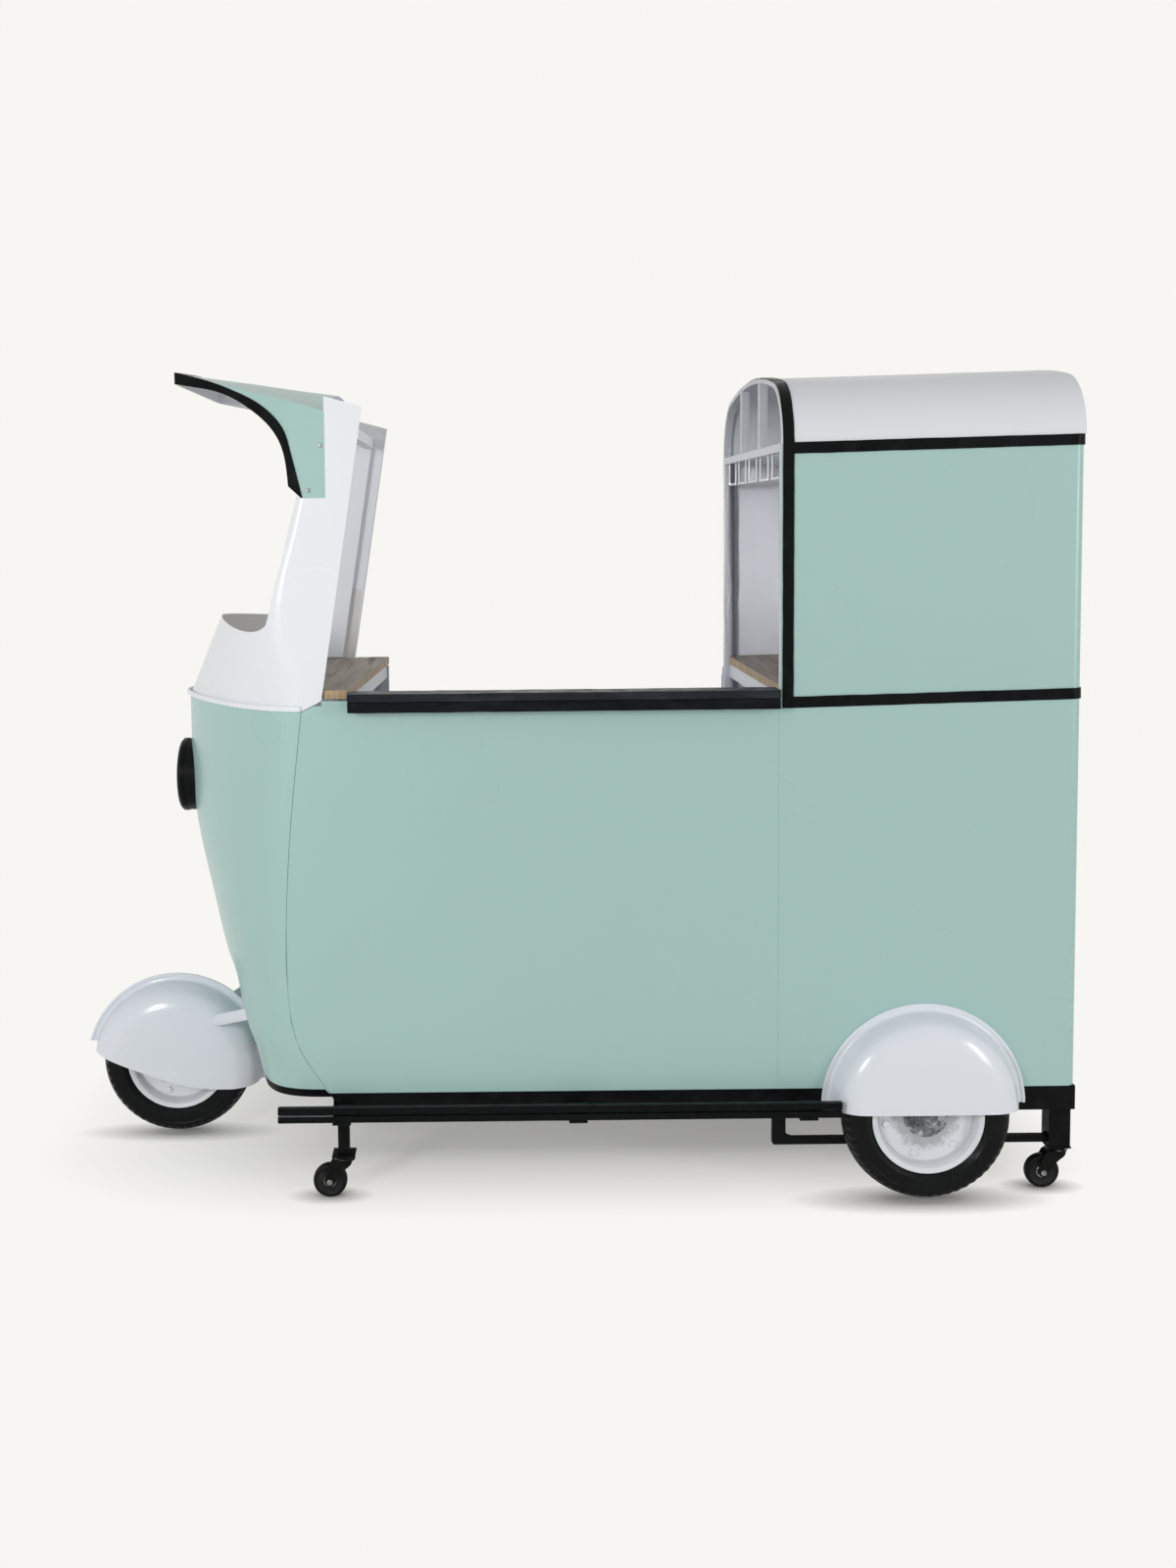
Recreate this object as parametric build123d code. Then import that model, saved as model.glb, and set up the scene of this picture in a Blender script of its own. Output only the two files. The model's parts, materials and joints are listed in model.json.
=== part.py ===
from build123d import *
import os
from math import cos, pi, sin, sqrt

os.makedirs("parts", exist_ok=True)

# Bar cart in the shape of a three-wheeled taxi, in millimetres.
# +X runs from the nose to the rear, -Y is the customer's side and +Z is up.
# A station is a distance behind the front-most point, an out is a distance from the centre line.

# Driving sizes of the body
body_width = 850.0
panel_bottom = 249.0
counter_height = 1121.0
counter_start = 691.0
counter_length = 938.0
hutch_length = 654.0
roof_springing = 1674.0
roof_rise = 166.0
roof_corner_radius = 140.0
rear_corner_radius = 20.0

# Sheet, tube and gaps
sheet = 2.0
tube = 25.0
tube_wall = 2.0
seam_gap = 0.4
skin_gap = 0.1
panel_gap = 1.5
running_clearance = 0.05
swivel_gap = 0.3
visor_gap = 0.3

# Road wheels
wheel_radius = 184.0
axle_height = 195.0
tyre_half_width = 41.0
rim_radius = 123.0
rim_lip = 34.0
axle_radius = 10.0
front_wheel_station = 220.0
rear_wheel_setback = 317.0
rear_wheel_offset = 15.0

# Fenders, all of one pressing
fender_radius = 225.0
fender_depth = 78.0
fender_sheet = 1.6
front_fender_height = 176.4
front_fender_cut = 235.0
rear_fender_height = 213.0
rear_fender_cut = 213.5

# Casters
caster_height = 100.0
caster_wheel_radius = 38.0
caster_trail = 32.0
caster_plate_size = 51.0
caster_bolt_radius = 4.0
kingpin_radius = 5.0
rear_leg_size = 48.0

# Places that follow from the sizes
half_width = body_width / 2
inner_face = half_width - sheet
hutch_front = counter_start + counter_length
rear_wheel_station = hutch_front + rear_wheel_setback
body_rear = hutch_front + hutch_length
rear_leg_station = body_rear - rear_leg_size / 2
overall_length = rear_leg_station + caster_plate_size / 2
trim_thickness = 3.0
trim_width = 24.0
front_fender_station = sqrt(fender_radius**2 - (front_fender_cut - front_fender_height) ** 2)


def x_at(station):
    """X of a station, with the origin under the middle of the cart."""
    return station - overall_length / 2


def block(stations, widths, heights):
    """Box between two stations, two widths along Y and two heights."""
    size = [span[1] - span[0] for span in (stations, widths, heights)]
    middle = [(span[0] + span[1]) / 2 for span in (stations, widths, heights)]
    return Pos(x_at(middle[0]), middle[1], middle[2]) * Box(*size)


def near_block(stations, outs, heights):
    """Box on the near side, between two outs."""
    return block(stations, (-outs[1], -outs[0]), heights)


def far_copy(solid):
    """The same solid on the far side."""
    return solid.mirror(Plane.XZ)


def both(solid):
    """A near solid and its far twin."""
    return [solid, far_copy(solid)]


def near_tube(stations, outs, heights, along):
    """Square tube on the near side, open at its ends; along is 0, 1 or 2 for X, Y or Z."""
    spans = [stations, outs, heights]
    bore = [s if i == along else (s[0] + tube_wall, s[1] - tube_wall) for i, s in enumerate(spans)]
    return near_block(*spans) - near_block(*bore)


def side_plate(points, outs):
    """Plate on the near side from an outline of (station, height) points."""
    corners = [(x_at(s), -outs[1], z) for s, z in points]
    face = Face(Wire.make_polygon([Vector(c) for c in corners], close=True))
    return extrude(face, amount=outs[1] - outs[0], dir=(0, 1, 0))


def side_cutter(edges_points, reach):
    """Block right through the cart, from a closed outline of lines and curves seen from the side."""
    edges = []
    for points in edges_points:
        corners = [(x_at(s), -reach, z) for s, z in points]
        edges.append(Line(*corners) if len(corners) == 2 else Spline(*corners))
    return extrude(Face(Wire(edges)), amount=2 * reach, dir=(0, 1, 0))


def turned(points):
    """Solid turned about Z from (radius, height) points."""
    face = Face(Wire.make_polygon([Vector(r, 0, z) for r, z in points], close=True))
    return revolve(face, Axis.Z)


def rod(start, end, radius):
    """Round rod between two points given as (station, y, z)."""
    a = Vector(x_at(start[0]), start[1], start[2])
    b = Vector(x_at(end[0]), end[1], end[2])
    bar = Cylinder(radius, (b - a).length, align=(Align.CENTER, Align.CENTER, Align.MIN))
    return Plane(origin=a, z_dir=b - a) * bar


def save(name, solids):
    """Writes one node, a solid or a group of solids."""
    parts = solids if isinstance(solids, list) else [solids]
    flat = [piece for part in parts for piece in part.solids()]
    export_step(Compound(flat), f"parts/{name}.step")


# Chassis: two long rails between cross members, and sill tubes under the panels
sill_bottom = 195.0
sill_width = 25.0
sill_inner = half_width - sill_width
chassis_rail_outs = (sill_inner - 55.0, sill_inner - 15.0)
chassis_rail_height = 40.0
rail_bottom = panel_bottom - chassis_rail_height
front_member = (640.0, 680.0)
rear_member = (body_rear - 40.0, body_rear)
middle_members = (990.0, 1310.0, hutch_front)
middle_member_width = 30.0
arch_clearance = 12.0
sill_stop_front = rear_wheel_station - wheel_radius - arch_clearance
sill_stop_rear = rear_wheel_station + wheel_radius + arch_clearance
sill_end_cap = 10.0
sill_nose_top = 632.0
sill_nose_bottom = 678.0


def chassis_frame():
    height = (rail_bottom, panel_bottom)
    rail = near_tube((front_member[1], rear_member[0]), chassis_rail_outs, height, 0)
    solids = both(rail)
    for member in (front_member, rear_member):
        solids.append(near_tube(member, (-sill_inner, sill_inner), (sill_bottom, panel_bottom), 1))
    rail_inner = chassis_rail_outs[0]
    for station in middle_members:
        span = (station, station + middle_member_width)
        solids.append(near_tube(span, (-rail_inner, rail_inner), height, 1))
        solids += both(near_tube(span, (chassis_rail_outs[1], sill_inner), height, 1))
    return solids


def sill_front(z):
    """Station of the sill's slanted front end at a height."""
    slope = (sill_nose_bottom - sill_nose_top) / (panel_bottom - sill_bottom)
    return sill_nose_top + (panel_bottom - z) * slope


def sill_tubes():
    outs = (sill_inner, half_width)
    front = side_plate(
        [(sill_nose_top, panel_bottom), (sill_stop_front, panel_bottom),
         (sill_stop_front, sill_bottom), (sill_nose_bottom, sill_bottom)], outs)
    rear = near_block((sill_stop_rear, body_rear), outs, (sill_bottom, panel_bottom))
    bore_outs = (outs[0] + tube_wall, outs[1] - tube_wall)
    bore_heights = (sill_bottom + tube_wall, panel_bottom - tube_wall)
    front = front - near_block((front_member[1], sill_stop_front), bore_outs, bore_heights)
    rear = rear - near_block((sill_stop_rear, body_rear - sill_end_cap), bore_outs, bore_heights)
    return both(front) + both(rear)


# Legs that carry the casters
front_leg_station = 661.0
front_leg_size = 25.0
front_leg_out = sill_inner - front_leg_size / 2
rear_leg_out = sill_inner - rear_leg_size / 2


def caster_legs():
    solids = []
    for station, out, size in (
            (front_leg_station, front_leg_out, front_leg_size),
            (rear_leg_station, rear_leg_out, rear_leg_size)):
        span = (station - size / 2, station + size / 2)
        outs = (out - size / 2, out + size / 2)
        solids += both(near_tube(span, outs, (caster_height, sill_bottom), 2))
    return solids


# Lower rails behind the rear wheels, with their hangers and axle plates
carrier_outs = (sill_inner - 29.0, sill_inner - 14.0)
carrier_bottom = 106.0
carrier_height = 16.0
carrier_top = carrier_bottom + carrier_height
hanger_start = hutch_front - 9.0
hanger_width = 30.0
hanger_curve = 14.0
plate_half_length = 30.0
plate_outs = (carrier_outs[0] + 2.0, carrier_outs[1] - 3.0)


def axle_carriers():
    solids = []
    hanger_end = hanger_start + hanger_width
    gap_top = rail_bottom - hanger_curve
    corner = (hanger_end + hanger_curve, carrier_top)
    hanger = side_plate(
        [(hanger_start, rail_bottom), (hanger_end, rail_bottom), (hanger_end, gap_top),
         (hanger_end, carrier_top + hanger_curve), (hanger_end + 4, carrier_top + 4), corner,
         (corner[0], carrier_bottom), (hanger_start + 4, carrier_bottom),
         (hanger_start, carrier_bottom + 4)], carrier_outs)
    rear_leg_front = body_rear - rear_leg_size
    bar = near_block((corner[0], rear_leg_front), carrier_outs, (carrier_bottom, carrier_top))
    plate_span = (rear_wheel_station - plate_half_length, rear_wheel_station + plate_half_length)
    plate = near_block(plate_span, plate_outs, (carrier_top, rail_bottom))
    hole = rod((rear_wheel_station, -plate_outs[1] - 1, axle_height),
               (rear_wheel_station, -plate_outs[0] + 1, axle_height), shoulder_radius)
    for solid in (hanger, bar, plate - hole):
        solids += both(solid)
    return solids


# Axles: the rear one runs from wheel to wheel, the front one between the fork arms
shoulder_radius = 12.0
hub_inner_end = 36.0
hub_outer_end = 32.0
hub_end_gap = 0.4
end_nut_radius = 16.0
end_nut_length = 7.0
rear_wheel_out = half_width + rear_wheel_offset
arm_outs = (50.0, 58.0)


def axle_bar(station, steps):
    """Stepped bar along Y through (radius, y start, y end) steps."""
    pieces = [rod((station, y0, axle_height), (station, y1, axle_height), r) for r, y0, y1 in steps]
    solid = pieces[0]
    for piece in pieces[1:]:
        solid = solid + piece
    return solid


def axles():
    shoulder = rear_wheel_out - hub_inner_end - hub_end_gap
    tip = rear_wheel_out + hub_outer_end + hub_end_gap
    nut_end = tip + end_nut_length
    rear = axle_bar(rear_wheel_station, [
        (axle_radius, -tip, tip), (shoulder_radius, -shoulder, shoulder),
        (end_nut_radius, -nut_end, -tip), (end_nut_radius, tip, nut_end)])
    near_collar = hub_outer_end + hub_end_gap
    far_collar = hub_inner_end + hub_end_gap
    front_end = arm_outs[1] + end_nut_length
    front = axle_bar(front_wheel_station, [
        (axle_radius, -arm_outs[1], arm_outs[1]), (shoulder_radius, -arm_outs[0], -near_collar),
        (shoulder_radius, far_collar, arm_outs[0]), (end_nut_radius, -front_end, -arm_outs[1]),
        (end_nut_radius, arm_outs[1], front_end)])
    return [rear, front]


# Fork arms that carry the front axle, each hung from its half of the front fender
arm_width = 32.0
arm_top = 290.0
arm_foot_height = 35.0
arm_foot_gap = 0.1
fender_cone = 1.5
fender_cone_radius = 122.0


def front_fork_arms():
    span = (front_wheel_station - arm_width / 2, front_wheel_station + arm_width / 2)
    arm = near_block(span, arm_outs, (axle_height - arm_width / 2, arm_top))
    seat = fender_depth - fender_sheet - fender_cone - arm_foot_gap
    foot = near_block(span, (arm_outs[1], seat), (arm_top - arm_foot_height, arm_top))
    hole = rod((front_wheel_station, -arm_outs[1] - 1, axle_height),
               (front_wheel_station, -arm_outs[0] + 1, axle_height), axle_radius)
    return both(arm + foot - hole)


# Foot rail on the near side: two bars on flat arms
foot_bar = 15.0
foot_bar_gap = 3.0
foot_rail_bottom = 210.0
foot_rail_reach = 75.0
foot_rail_start = 529.0
foot_rail_end = hutch_front + 123.0
foot_arm_stations = (667.0, 1180.0, hutch_front + 51.0)
foot_arm_width = 40.0
foot_arm_thickness = 6.0
foot_plate_thickness = 4.0


def foot_rail():
    outs = (half_width + foot_rail_reach - foot_bar, half_width + foot_rail_reach)
    solids = []
    for level in (0, 1):
        low = foot_rail_bottom + level * (foot_bar + foot_bar_gap)
        bar = near_block((foot_rail_start, foot_rail_end), outs, (low, low + foot_bar))
        bore = near_block(
            (foot_rail_start + foot_bar_gap, foot_rail_end),
            (outs[0] + tube_wall, outs[1] - tube_wall), (low + tube_wall, low + foot_bar - tube_wall))
        solids.append(bar - bore)
    top = foot_rail_bottom + 2 * foot_bar + foot_bar_gap
    for station in foot_arm_stations:
        span = (station - foot_arm_width / 2, station + foot_arm_width / 2)
        low = foot_rail_bottom - foot_arm_thickness
        arm = near_block(span, (half_width, outs[1]), (low, foot_rail_bottom))
        plate = near_block(span, (outs[0] - foot_plate_thickness, outs[0]), (foot_rail_bottom, top))
        solids += [arm, plate]
    return solids


# Nose: a bow in plan at each height, sharp at the rim and blunt at the foot
rim_height = 1098.0
rim_side = 587.0
rim_tip = 270.0
nose_bottom = 258.0
nose_levels = [
    # height, tip station, side station, reach of the flank, reach of the tip
    (246.0, 463.0, 636.0, 0.85, 0.85),
    (nose_bottom, 455.0, 628.0, 0.85, 0.85),
    (290.0, 441.0, 606.0, 0.76, 0.80),
    (339.0, 420.0, 575.0, 0.68, 0.72),
    (414.0, 392.0, 552.0, 0.60, 0.62),
    (500.0, 361.0, 545.0, 0.53, 0.52),
    (618.0, 326.0, 545.0, 0.52, 0.42),
    (812.0, 281.0, 556.0, 0.50, 0.28),
    (925.0, 271.5, 567.0, 0.48, 0.23),
    (rim_height, rim_tip, rim_side, 0.48, 0.18),
    (1110.0, 270.0, 588.4, 0.48, 0.18),
]
headlight_height = 898.0
headlight_radius = 87.0
skirt_height = 18.0
skirt_inset = 3.0
skirt_thickness = 3.0


def bow_curve(level, inset):
    """Near half of the bow: straight back at the flank and square across at the tip."""
    z, tip, side, flank_reach, tip_reach = level
    front = tip + inset
    width = half_width - inset
    return Bezier(
        (x_at(side), -width, z), (x_at(side - flank_reach * (side - front)), -width, z),
        (x_at(front), -tip_reach * width, z), (x_at(front), 0, z))


def bow_face(level, rear, inset, thickness):
    """Level face between two bows one sheet apart, with straight flanks back to the rear station."""
    outer = bow_curve(level, inset)
    inner = bow_curve(level, inset + thickness)
    start, inner_start = outer @ 0, inner @ 0
    corners = [inner_start, start]
    if rear > level[2]:
        back = Vector(x_at(rear) - start.X, 0, 0)
        corners = [inner_start, inner_start + back, start + back, start]
    edges = [outer, inner, Line(outer @ 1, inner @ 1)]
    return Face(Wire(edges + [Line(a, b) for a, b in zip(corners, corners[1:])]))


def bow_ring(levels, rears, inset, thickness, heights):
    """Sheet that follows the bow through the levels, between two heights."""
    half = loft([bow_face(level, rear, inset, thickness) for level, rear in zip(levels, rears)])
    slab = block((0, 1000), (-half_width - 20, 20), heights)
    half = half & slab
    return half + far_copy(half)


def flat_bow_ring(level, inset, thickness, heights, rear=0.0):
    """Sheet that follows one bow straight up between two heights, with flanks back to the rear station."""
    levels = [(heights[0] - 5,) + level[1:], (heights[1] + 5,) + level[1:]]
    return bow_ring(levels, [max(rear, level[2])] * 2, inset, thickness, heights)


def nose_panel():
    sides = [level[2] for level in nose_levels]
    shell = bow_ring(nose_levels, sides, 0, sheet, (nose_bottom, rim_height - seam_gap))
    start = (rim_tip - 60, 0, headlight_height)
    end = (rim_tip + 90, 0, headlight_height)
    return shell - rod(start, end, headlight_radius)


def nose_skirt():
    heights = (nose_bottom - skirt_height, nose_bottom)
    ring = flat_bow_ring(nose_levels[1], skirt_inset, skirt_thickness, heights, sill_nose_bottom)
    front = [(sill_front(z) - panel_gap, z) for z in (heights[0] - 10, heights[1] + 10)]
    behind = [(sill_nose_bottom + 50, z) for z in (heights[1] + 10, heights[0] - 10)]
    return ring - side_cutter(outline(front + behind), half_width + 5)


# Visor: a hood, level with the pillars at the rear and narrower at its tip
visor_rear_half = half_width + sheet + visor_gap
visor_rear = 648.0
visor_tip = 308.0
visor_foot_height = 1560.0
visor_sections = [
    # station, half width, height of the crease, height of the middle
    (visor_rear, visor_rear_half, 1745.0, 1806.0),
    (575.0, visor_rear_half, 1766.0, 1815.0),
    (453.0, 366.0, 1800.0, 1833.5),
    (visor_tip, 295.0, 1841.0, 1852.0),
]
visor_lip_bottom = 1816.5
visor_leg_bottom = 1500.0
edge_strip_start = 325.0
edge_strip_thickness = 2.0
visor_edge = [
    [(visor_tip, visor_lip_bottom), (355, 1807), (400, 1797), (447, 1777.5), (490, 1749.5), (530, 1713),
     (553, 1676), (564, 1635), (569, 1586)],
    [(569, 1586), (597, visor_foot_height)],
]
visor_edge_inner = [
    [(edge_strip_start, 1858), (341, 1834.5)],
    [(341, 1834.5), (395, 1817), (448, 1795), (500, 1768), (539, 1736), (562, 1704), (575, 1663),
     (587, 1615), (594, 1585)],
    [(594, 1585), (600, visor_foot_height)],
]


# Cab: white sheet from the rim to the top of the pillars
pillar_foot = 632.0
pillar_top = 730.0
pillar_top_height = 1754.0
cab_top_slope = 0.28
cab_flank = 0.48
cab_tip = 0.18
cab_levels = [
    # height, tip station, side station, reach of the flank, reach of the tip
    (1080.0, 261.0, rim_side, cab_flank, cab_tip),
    (1200.0, 314.0, 570.0, cab_flank, cab_tip),
    (1300.0, 357.0, 548.0, cab_flank, cab_tip),
    (1500.0, 450.0, 588.0, cab_flank, cab_tip),
    (1650.0, 512.0, 617.0, cab_flank, cab_tip),
    (1760.0, 557.0, 641.0, cab_flank, cab_tip),
    (1880.0, 608.0, 668.0, cab_flank, cab_tip),
]
header_bottom = 1735.0


def pillar_rear(z):
    """Station of the pillar's rear edge, which leans back."""
    lean = (pillar_top - pillar_foot) / (pillar_top_height - counter_height)
    return pillar_foot + (z - counter_height) * lean


def outline(points):
    """Straight runs round a closed outline."""
    return [[a, b] for a, b in zip(points, points[1:] + points[:1])]


windscreen = [
    [(100, 1291), (340, 1291), (395, 1277), (442, 1269), (490, 1272), (512, 1285)],
    [(512, 1285), (517, 1301), (531, 1358), (552, 1431), (570, 1505), (588, 1572), (606, 1650),
     (618, 1700)],
    [(618, 1700), (612, header_bottom)],
    [(612, header_bottom), (100, header_bottom)],
    [(100, header_bottom), (100, 1291)],
]


def cab_shell():
    rears = [pillar_rear(level[0]) for level in cab_levels]
    shell = bow_ring(cab_levels, rears, 0, sheet, (rim_height, 1870))
    reach = half_width + 10
    shell = shell - side_cutter(windscreen, reach)
    top_front = pillar_top_height + cab_top_slope * (pillar_top - 300)
    top_rear = pillar_top_height + cab_top_slope * (pillar_top - 900)
    over = [(300, top_front), (900, top_rear), (900, 2000), (300, 2000)]
    shell = shell - side_cutter(outline(over), reach)
    rise = [(rim_side, rim_height), (pillar_foot, counter_height), (900, counter_height),
            (900, rim_height - 10), (rim_side, rim_height - 10)]
    shell = shell - side_cutter(outline(rise), reach)
    behind_visor = block((visor_rear, 900), (-reach, reach), (rim_height - 10, 1900))
    below_visor = block((0, visor_rear), (-reach, reach), (rim_height - 10, visor_foot_height - 5))
    return shell & (visor_core(sheet + skin_gap) + behind_visor + below_visor)


# Liners inside the pillars, and the tube across the top
liner_depth = 20.0
liner_rear_margin = 33.0
liner_front_margin = 10.0
liner_bottom = counter_height + 25.0


def pillar_liners():
    top = header_bottom - 5
    front = [(522, liner_bottom), (527, 1310), (541, 1358), (562, 1431), (580, 1505), (598, 1572),
             (616, 1650), (628, top)]
    front = [(s + liner_front_margin, z) for s, z in front]
    rear = [(pillar_rear(z) - liner_rear_margin, z) for z in (top, liner_bottom)]
    face_out = inner_face - liner_depth
    plate = side_plate(front + rear, (face_out, face_out + sheet))
    rear_return = side_plate(
        [rear[0], rear[1], (rear[1][0] - sheet, rear[1][1]), (rear[0][0] - sheet, rear[0][1])],
        (face_out + sheet, inner_face))
    header_half = face_out - seam_gap
    header_station = pillar_rear(header_bottom) - liner_rear_margin - tube
    header = near_tube((header_station, header_station + tube), (-header_half, header_half),
                       (header_bottom - tube - 8, header_bottom - 8), 1)
    return both(plate + rear_return) + [header]


# Rolled bead where the cowl meets the nose
bead_height = 12.0
bead_proud = 7.0


def cowl_bead():
    level = (rim_height, rim_tip - 1.5, rim_side, cab_flank, cab_tip)
    return flat_bow_ring(level, -bead_proud, bead_proud - seam_gap, (rim_height, rim_height + bead_height))


def visor_arch(section, inset, bottom):
    """Lines and arch of one section of the visor, taken in by the inset."""
    station, half, crease, top = section
    x = x_at(station)
    a = half - inset
    c = crease - inset / 2
    return [Line((x, -a, bottom), (x, -a, c)), ThreePointArc((x, -a, c), (x, 0, top - inset), (x, a, c)),
            Line((x, a, c), (x, a, bottom))]


def visor_shell(inset, thickness):
    """The hood before its lower edge is cut, a sheet as thick as given."""
    faces = []
    for section in visor_sections:
        outer = visor_arch(section, inset, visor_leg_bottom)
        inner = visor_arch(section, inset + thickness, visor_leg_bottom)
        ends = [Line(outer[0] @ 0, inner[0] @ 0), Line(outer[-1] @ 1, inner[-1] @ 1)]
        faces.append(Face(Wire(outer + inner + ends)))
    return loft(faces, ruled=True)


def visor_core(inset):
    """Everything inside the hood."""
    faces = []
    for section in visor_sections:
        arch = visor_arch(section, inset, rim_height - 10)
        faces.append(Face(Wire(arch + [Line(arch[-1] @ 1, arch[0] @ 0)])))
    return loft(faces, ruled=True)


def visor_region(edge, front):
    """Everything above one lower edge of the visor, seen from the side."""
    foot = edge[-1][-1]
    start = edge[0][0]
    closing = [foot, (visor_rear + 50, foot[1]), (visor_rear + 50, 1950), (front, 1950), start]
    return side_cutter(edge + [closing[i:i + 2] for i in range(4)], half_width + 20)


def visor_lip(inset, front, thickness):
    """Upright plate across the tip, as wide and high as the hood there."""
    arch = visor_arch(visor_sections[-1], inset, visor_lip_bottom)
    face = Face(Wire(arch + [Line(arch[-1] @ 1, arch[0] @ 0)]))
    return Pos(front - visor_tip, 0, 0) * extrude(face, amount=thickness, dir=(1, 0, 0))


def visor():
    hood = visor_shell(0, sheet) & visor_region(visor_edge, visor_tip)
    return hood + visor_lip(sheet / 2, visor_tip, sheet)


def visor_edge_trim():
    outside = -edge_strip_thickness - skin_gap
    strip = visor_shell(outside, edge_strip_thickness)
    strip = strip & visor_region(visor_edge, visor_tip)
    strip = strip - visor_region(visor_edge_inner, edge_strip_start)
    seat = visor_tip - skin_gap
    front = visor_lip(outside, seat - edge_strip_thickness, edge_strip_thickness)
    corner = visor_lip(outside, seat, skin_gap) - visor_lip(-skin_gap, seat - 1, 2)
    return strip + front + corner


screw_radius = 5.0
screw_height = 3.0
screw_places = [(613.0, 1576.0), (640.0, 1672.0)]


def body_screws():
    solids = []
    seat = visor_rear_half
    for station, height in screw_places:
        solids += both(rod((station, -seat - screw_height, height), (station, -seat, height), screw_radius))
    return solids


# Headlight: a bucket through the nose, a bezel and a domed lens
headlight_front = 236.0
bezel_rear = 262.0
bezel_radius = 88.5
lens_radius = 76.0
lens_crown = 10.0
lens_thickness = 3.0
bucket_rear = 350.0


def along_x(local, station, height):
    """Turns a solid made about Z so that it faces forward, with its base at the station."""
    return Pos(x_at(station), 0, height) * Rot(0, -90, 0) * local


def headlight():
    bucket_length = bucket_rear - bezel_rear
    outer = headlight_radius - seam_gap
    inner = outer - sheet
    bucket = turned([(0, 0), (outer - 25, 0), (outer, 30), (outer, bucket_length),
                     (inner, bucket_length), (inner, 30), (outer - 26, sheet), (0, sheet)])
    reach = bezel_rear - headlight_front - lens_crown
    bezel = turned([(outer - 12, 0), (bezel_radius, 0), (bezel_radius, reach - 6), (bezel_radius - 6, reach),
                    (lens_radius, reach), (lens_radius, reach - 6), (outer - 12, reach - 6)])
    rim_out = lens_radius - seam_gap
    ball = (rim_out**2 + lens_crown**2) / (2 * lens_crown)
    half_rise = lens_crown - ball + sqrt(ball**2 - rim_out**2 / 4)
    dome = ThreePointArc((rim_out, 0, 0), (rim_out / 2, 0, half_rise), (0, 0, lens_crown))
    lens = revolve(Face(Wire([
        dome, Line((0, 0, lens_crown), (0, 0, -lens_thickness)),
        Line((0, 0, -lens_thickness), (rim_out, 0, -lens_thickness)),
        Line((rim_out, 0, -lens_thickness), (rim_out, 0, 0))])), Axis.Z)
    return {
        "headlight_bucket": along_x(bucket, bucket_rear, headlight_height),
        "headlight_bezel": along_x(bezel, bezel_rear, headlight_height),
        "headlight_lens": along_x(lens, bezel_rear - reach, headlight_height),
    }


# Panels along the body
arch_cut_radius = 207.0
panel_seam = hutch_front - 4.0
far_panel_end = 726.0


def side_panel(end):
    """Flat panel on the near side, from the nose's seam to the end station."""
    seam = [(level[2] + panel_gap, level[0]) for level in nose_levels]
    bottom, top = seam[0][1], seam[-1][1]
    behind_seam = side_cutter([seam, [seam[-1], (end, top)], [(end, top), (end, bottom)],
                               [(end, bottom), seam[0]]], half_width + 1)
    above_seam = block((pillar_foot, end), (-half_width - 1, 0), (top, counter_height))
    low = rim_height - panel_gap
    high = counter_height - seam_gap
    plate = side_plate(
        [(500, panel_bottom), (end, panel_bottom), (end, high), (pillar_foot + panel_gap, high),
         (rim_side + panel_gap, low), (500, low)], (inner_face, half_width))
    return plate & (behind_seam + above_seam)


def rounded_body(stations, width, radius, heights):
    """Box with its two rear upright edges rounded."""
    box = block(stations, (-width, width), heights)
    corners = box.edges().filter_by(Axis.Z).sort_by(Axis.X)[-2:]
    return fillet(corners, radius)


def body_wall(start, outset, thickness, heights):
    """Sheet round the near side, rear and far side, open at the front."""
    radius = rear_corner_radius + outset
    outer = rounded_body((start, body_rear + outset), half_width + outset, radius, heights)
    inner = rounded_body((start - 1, body_rear + outset - thickness), half_width + outset - thickness,
                         radius - thickness, heights)
    return outer - inner


def wall_pieces(start, heights):
    """Near, rear and far pieces of the wall, parted beside the rear corners."""
    wall = body_wall(start, 0, sheet, heights)
    part_line = half_width - rear_corner_radius
    everywhere = (start - 10, body_rear + 10)
    near = wall & block(everywhere, (-half_width - 1, -part_line), heights)
    rear = wall & block(everywhere, (-part_line + seam_gap, part_line - seam_gap), heights)
    return near, rear, far_copy(near)


wheel_arch = rod((rear_wheel_station, -half_width - 5, rear_fender_height),
                 (rear_wheel_station, -half_width + 5, rear_fender_height), arch_cut_radius)
mid_joint = 1114.0


def arch_face(station, inset):
    """Three-centred arch across the cart, on the springing line."""
    a = half_width - inset
    b = roof_rise - inset
    r = roof_corner_radius - inset
    crown = ((a - r) ** 2 + b**2 - r**2) / (2 * (b - r))
    x = x_at(station)
    z = roof_springing
    reach = sqrt((a - r) ** 2 + (crown - b) ** 2)
    side = (a - r) / reach
    up = (crown - b) / reach
    touch = (side * crown, b - crown + up * crown)
    bend = sqrt((1 + side) ** 2 + up**2)
    knee = (a - r + r * (1 + side) / bend, r * up / bend)

    def at(y, height):
        return (x, y, z + height)
    edges = [
        ThreePointArc(at(-a, 0), at(-knee[0], knee[1]), at(-touch[0], touch[1])),
        ThreePointArc(at(-touch[0], touch[1]), at(0, b), at(*touch)),
        ThreePointArc(at(*touch), at(*knee), at(a, 0)),
        Line(at(a, 0), at(-a, 0)),
    ]
    return Face(Wire(edges))


def arch_block(start, end, inset):
    """Solid under the arch between two stations."""
    return extrude(arch_face(start, inset), amount=end - start, dir=(1, 0, 0))


def arch_ring(start, end, inset, thickness):
    """Arched strip between two insets from the roof's outer face."""
    return arch_block(start, end, inset) - arch_block(start - 1, end + 1, inset + thickness)


# Frame of square tube behind the panels
post_outs = (inner_face - tube, inner_face)
rear_post_inset = 6.0
upright_stations = (1000.0, 1315.0)


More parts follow.
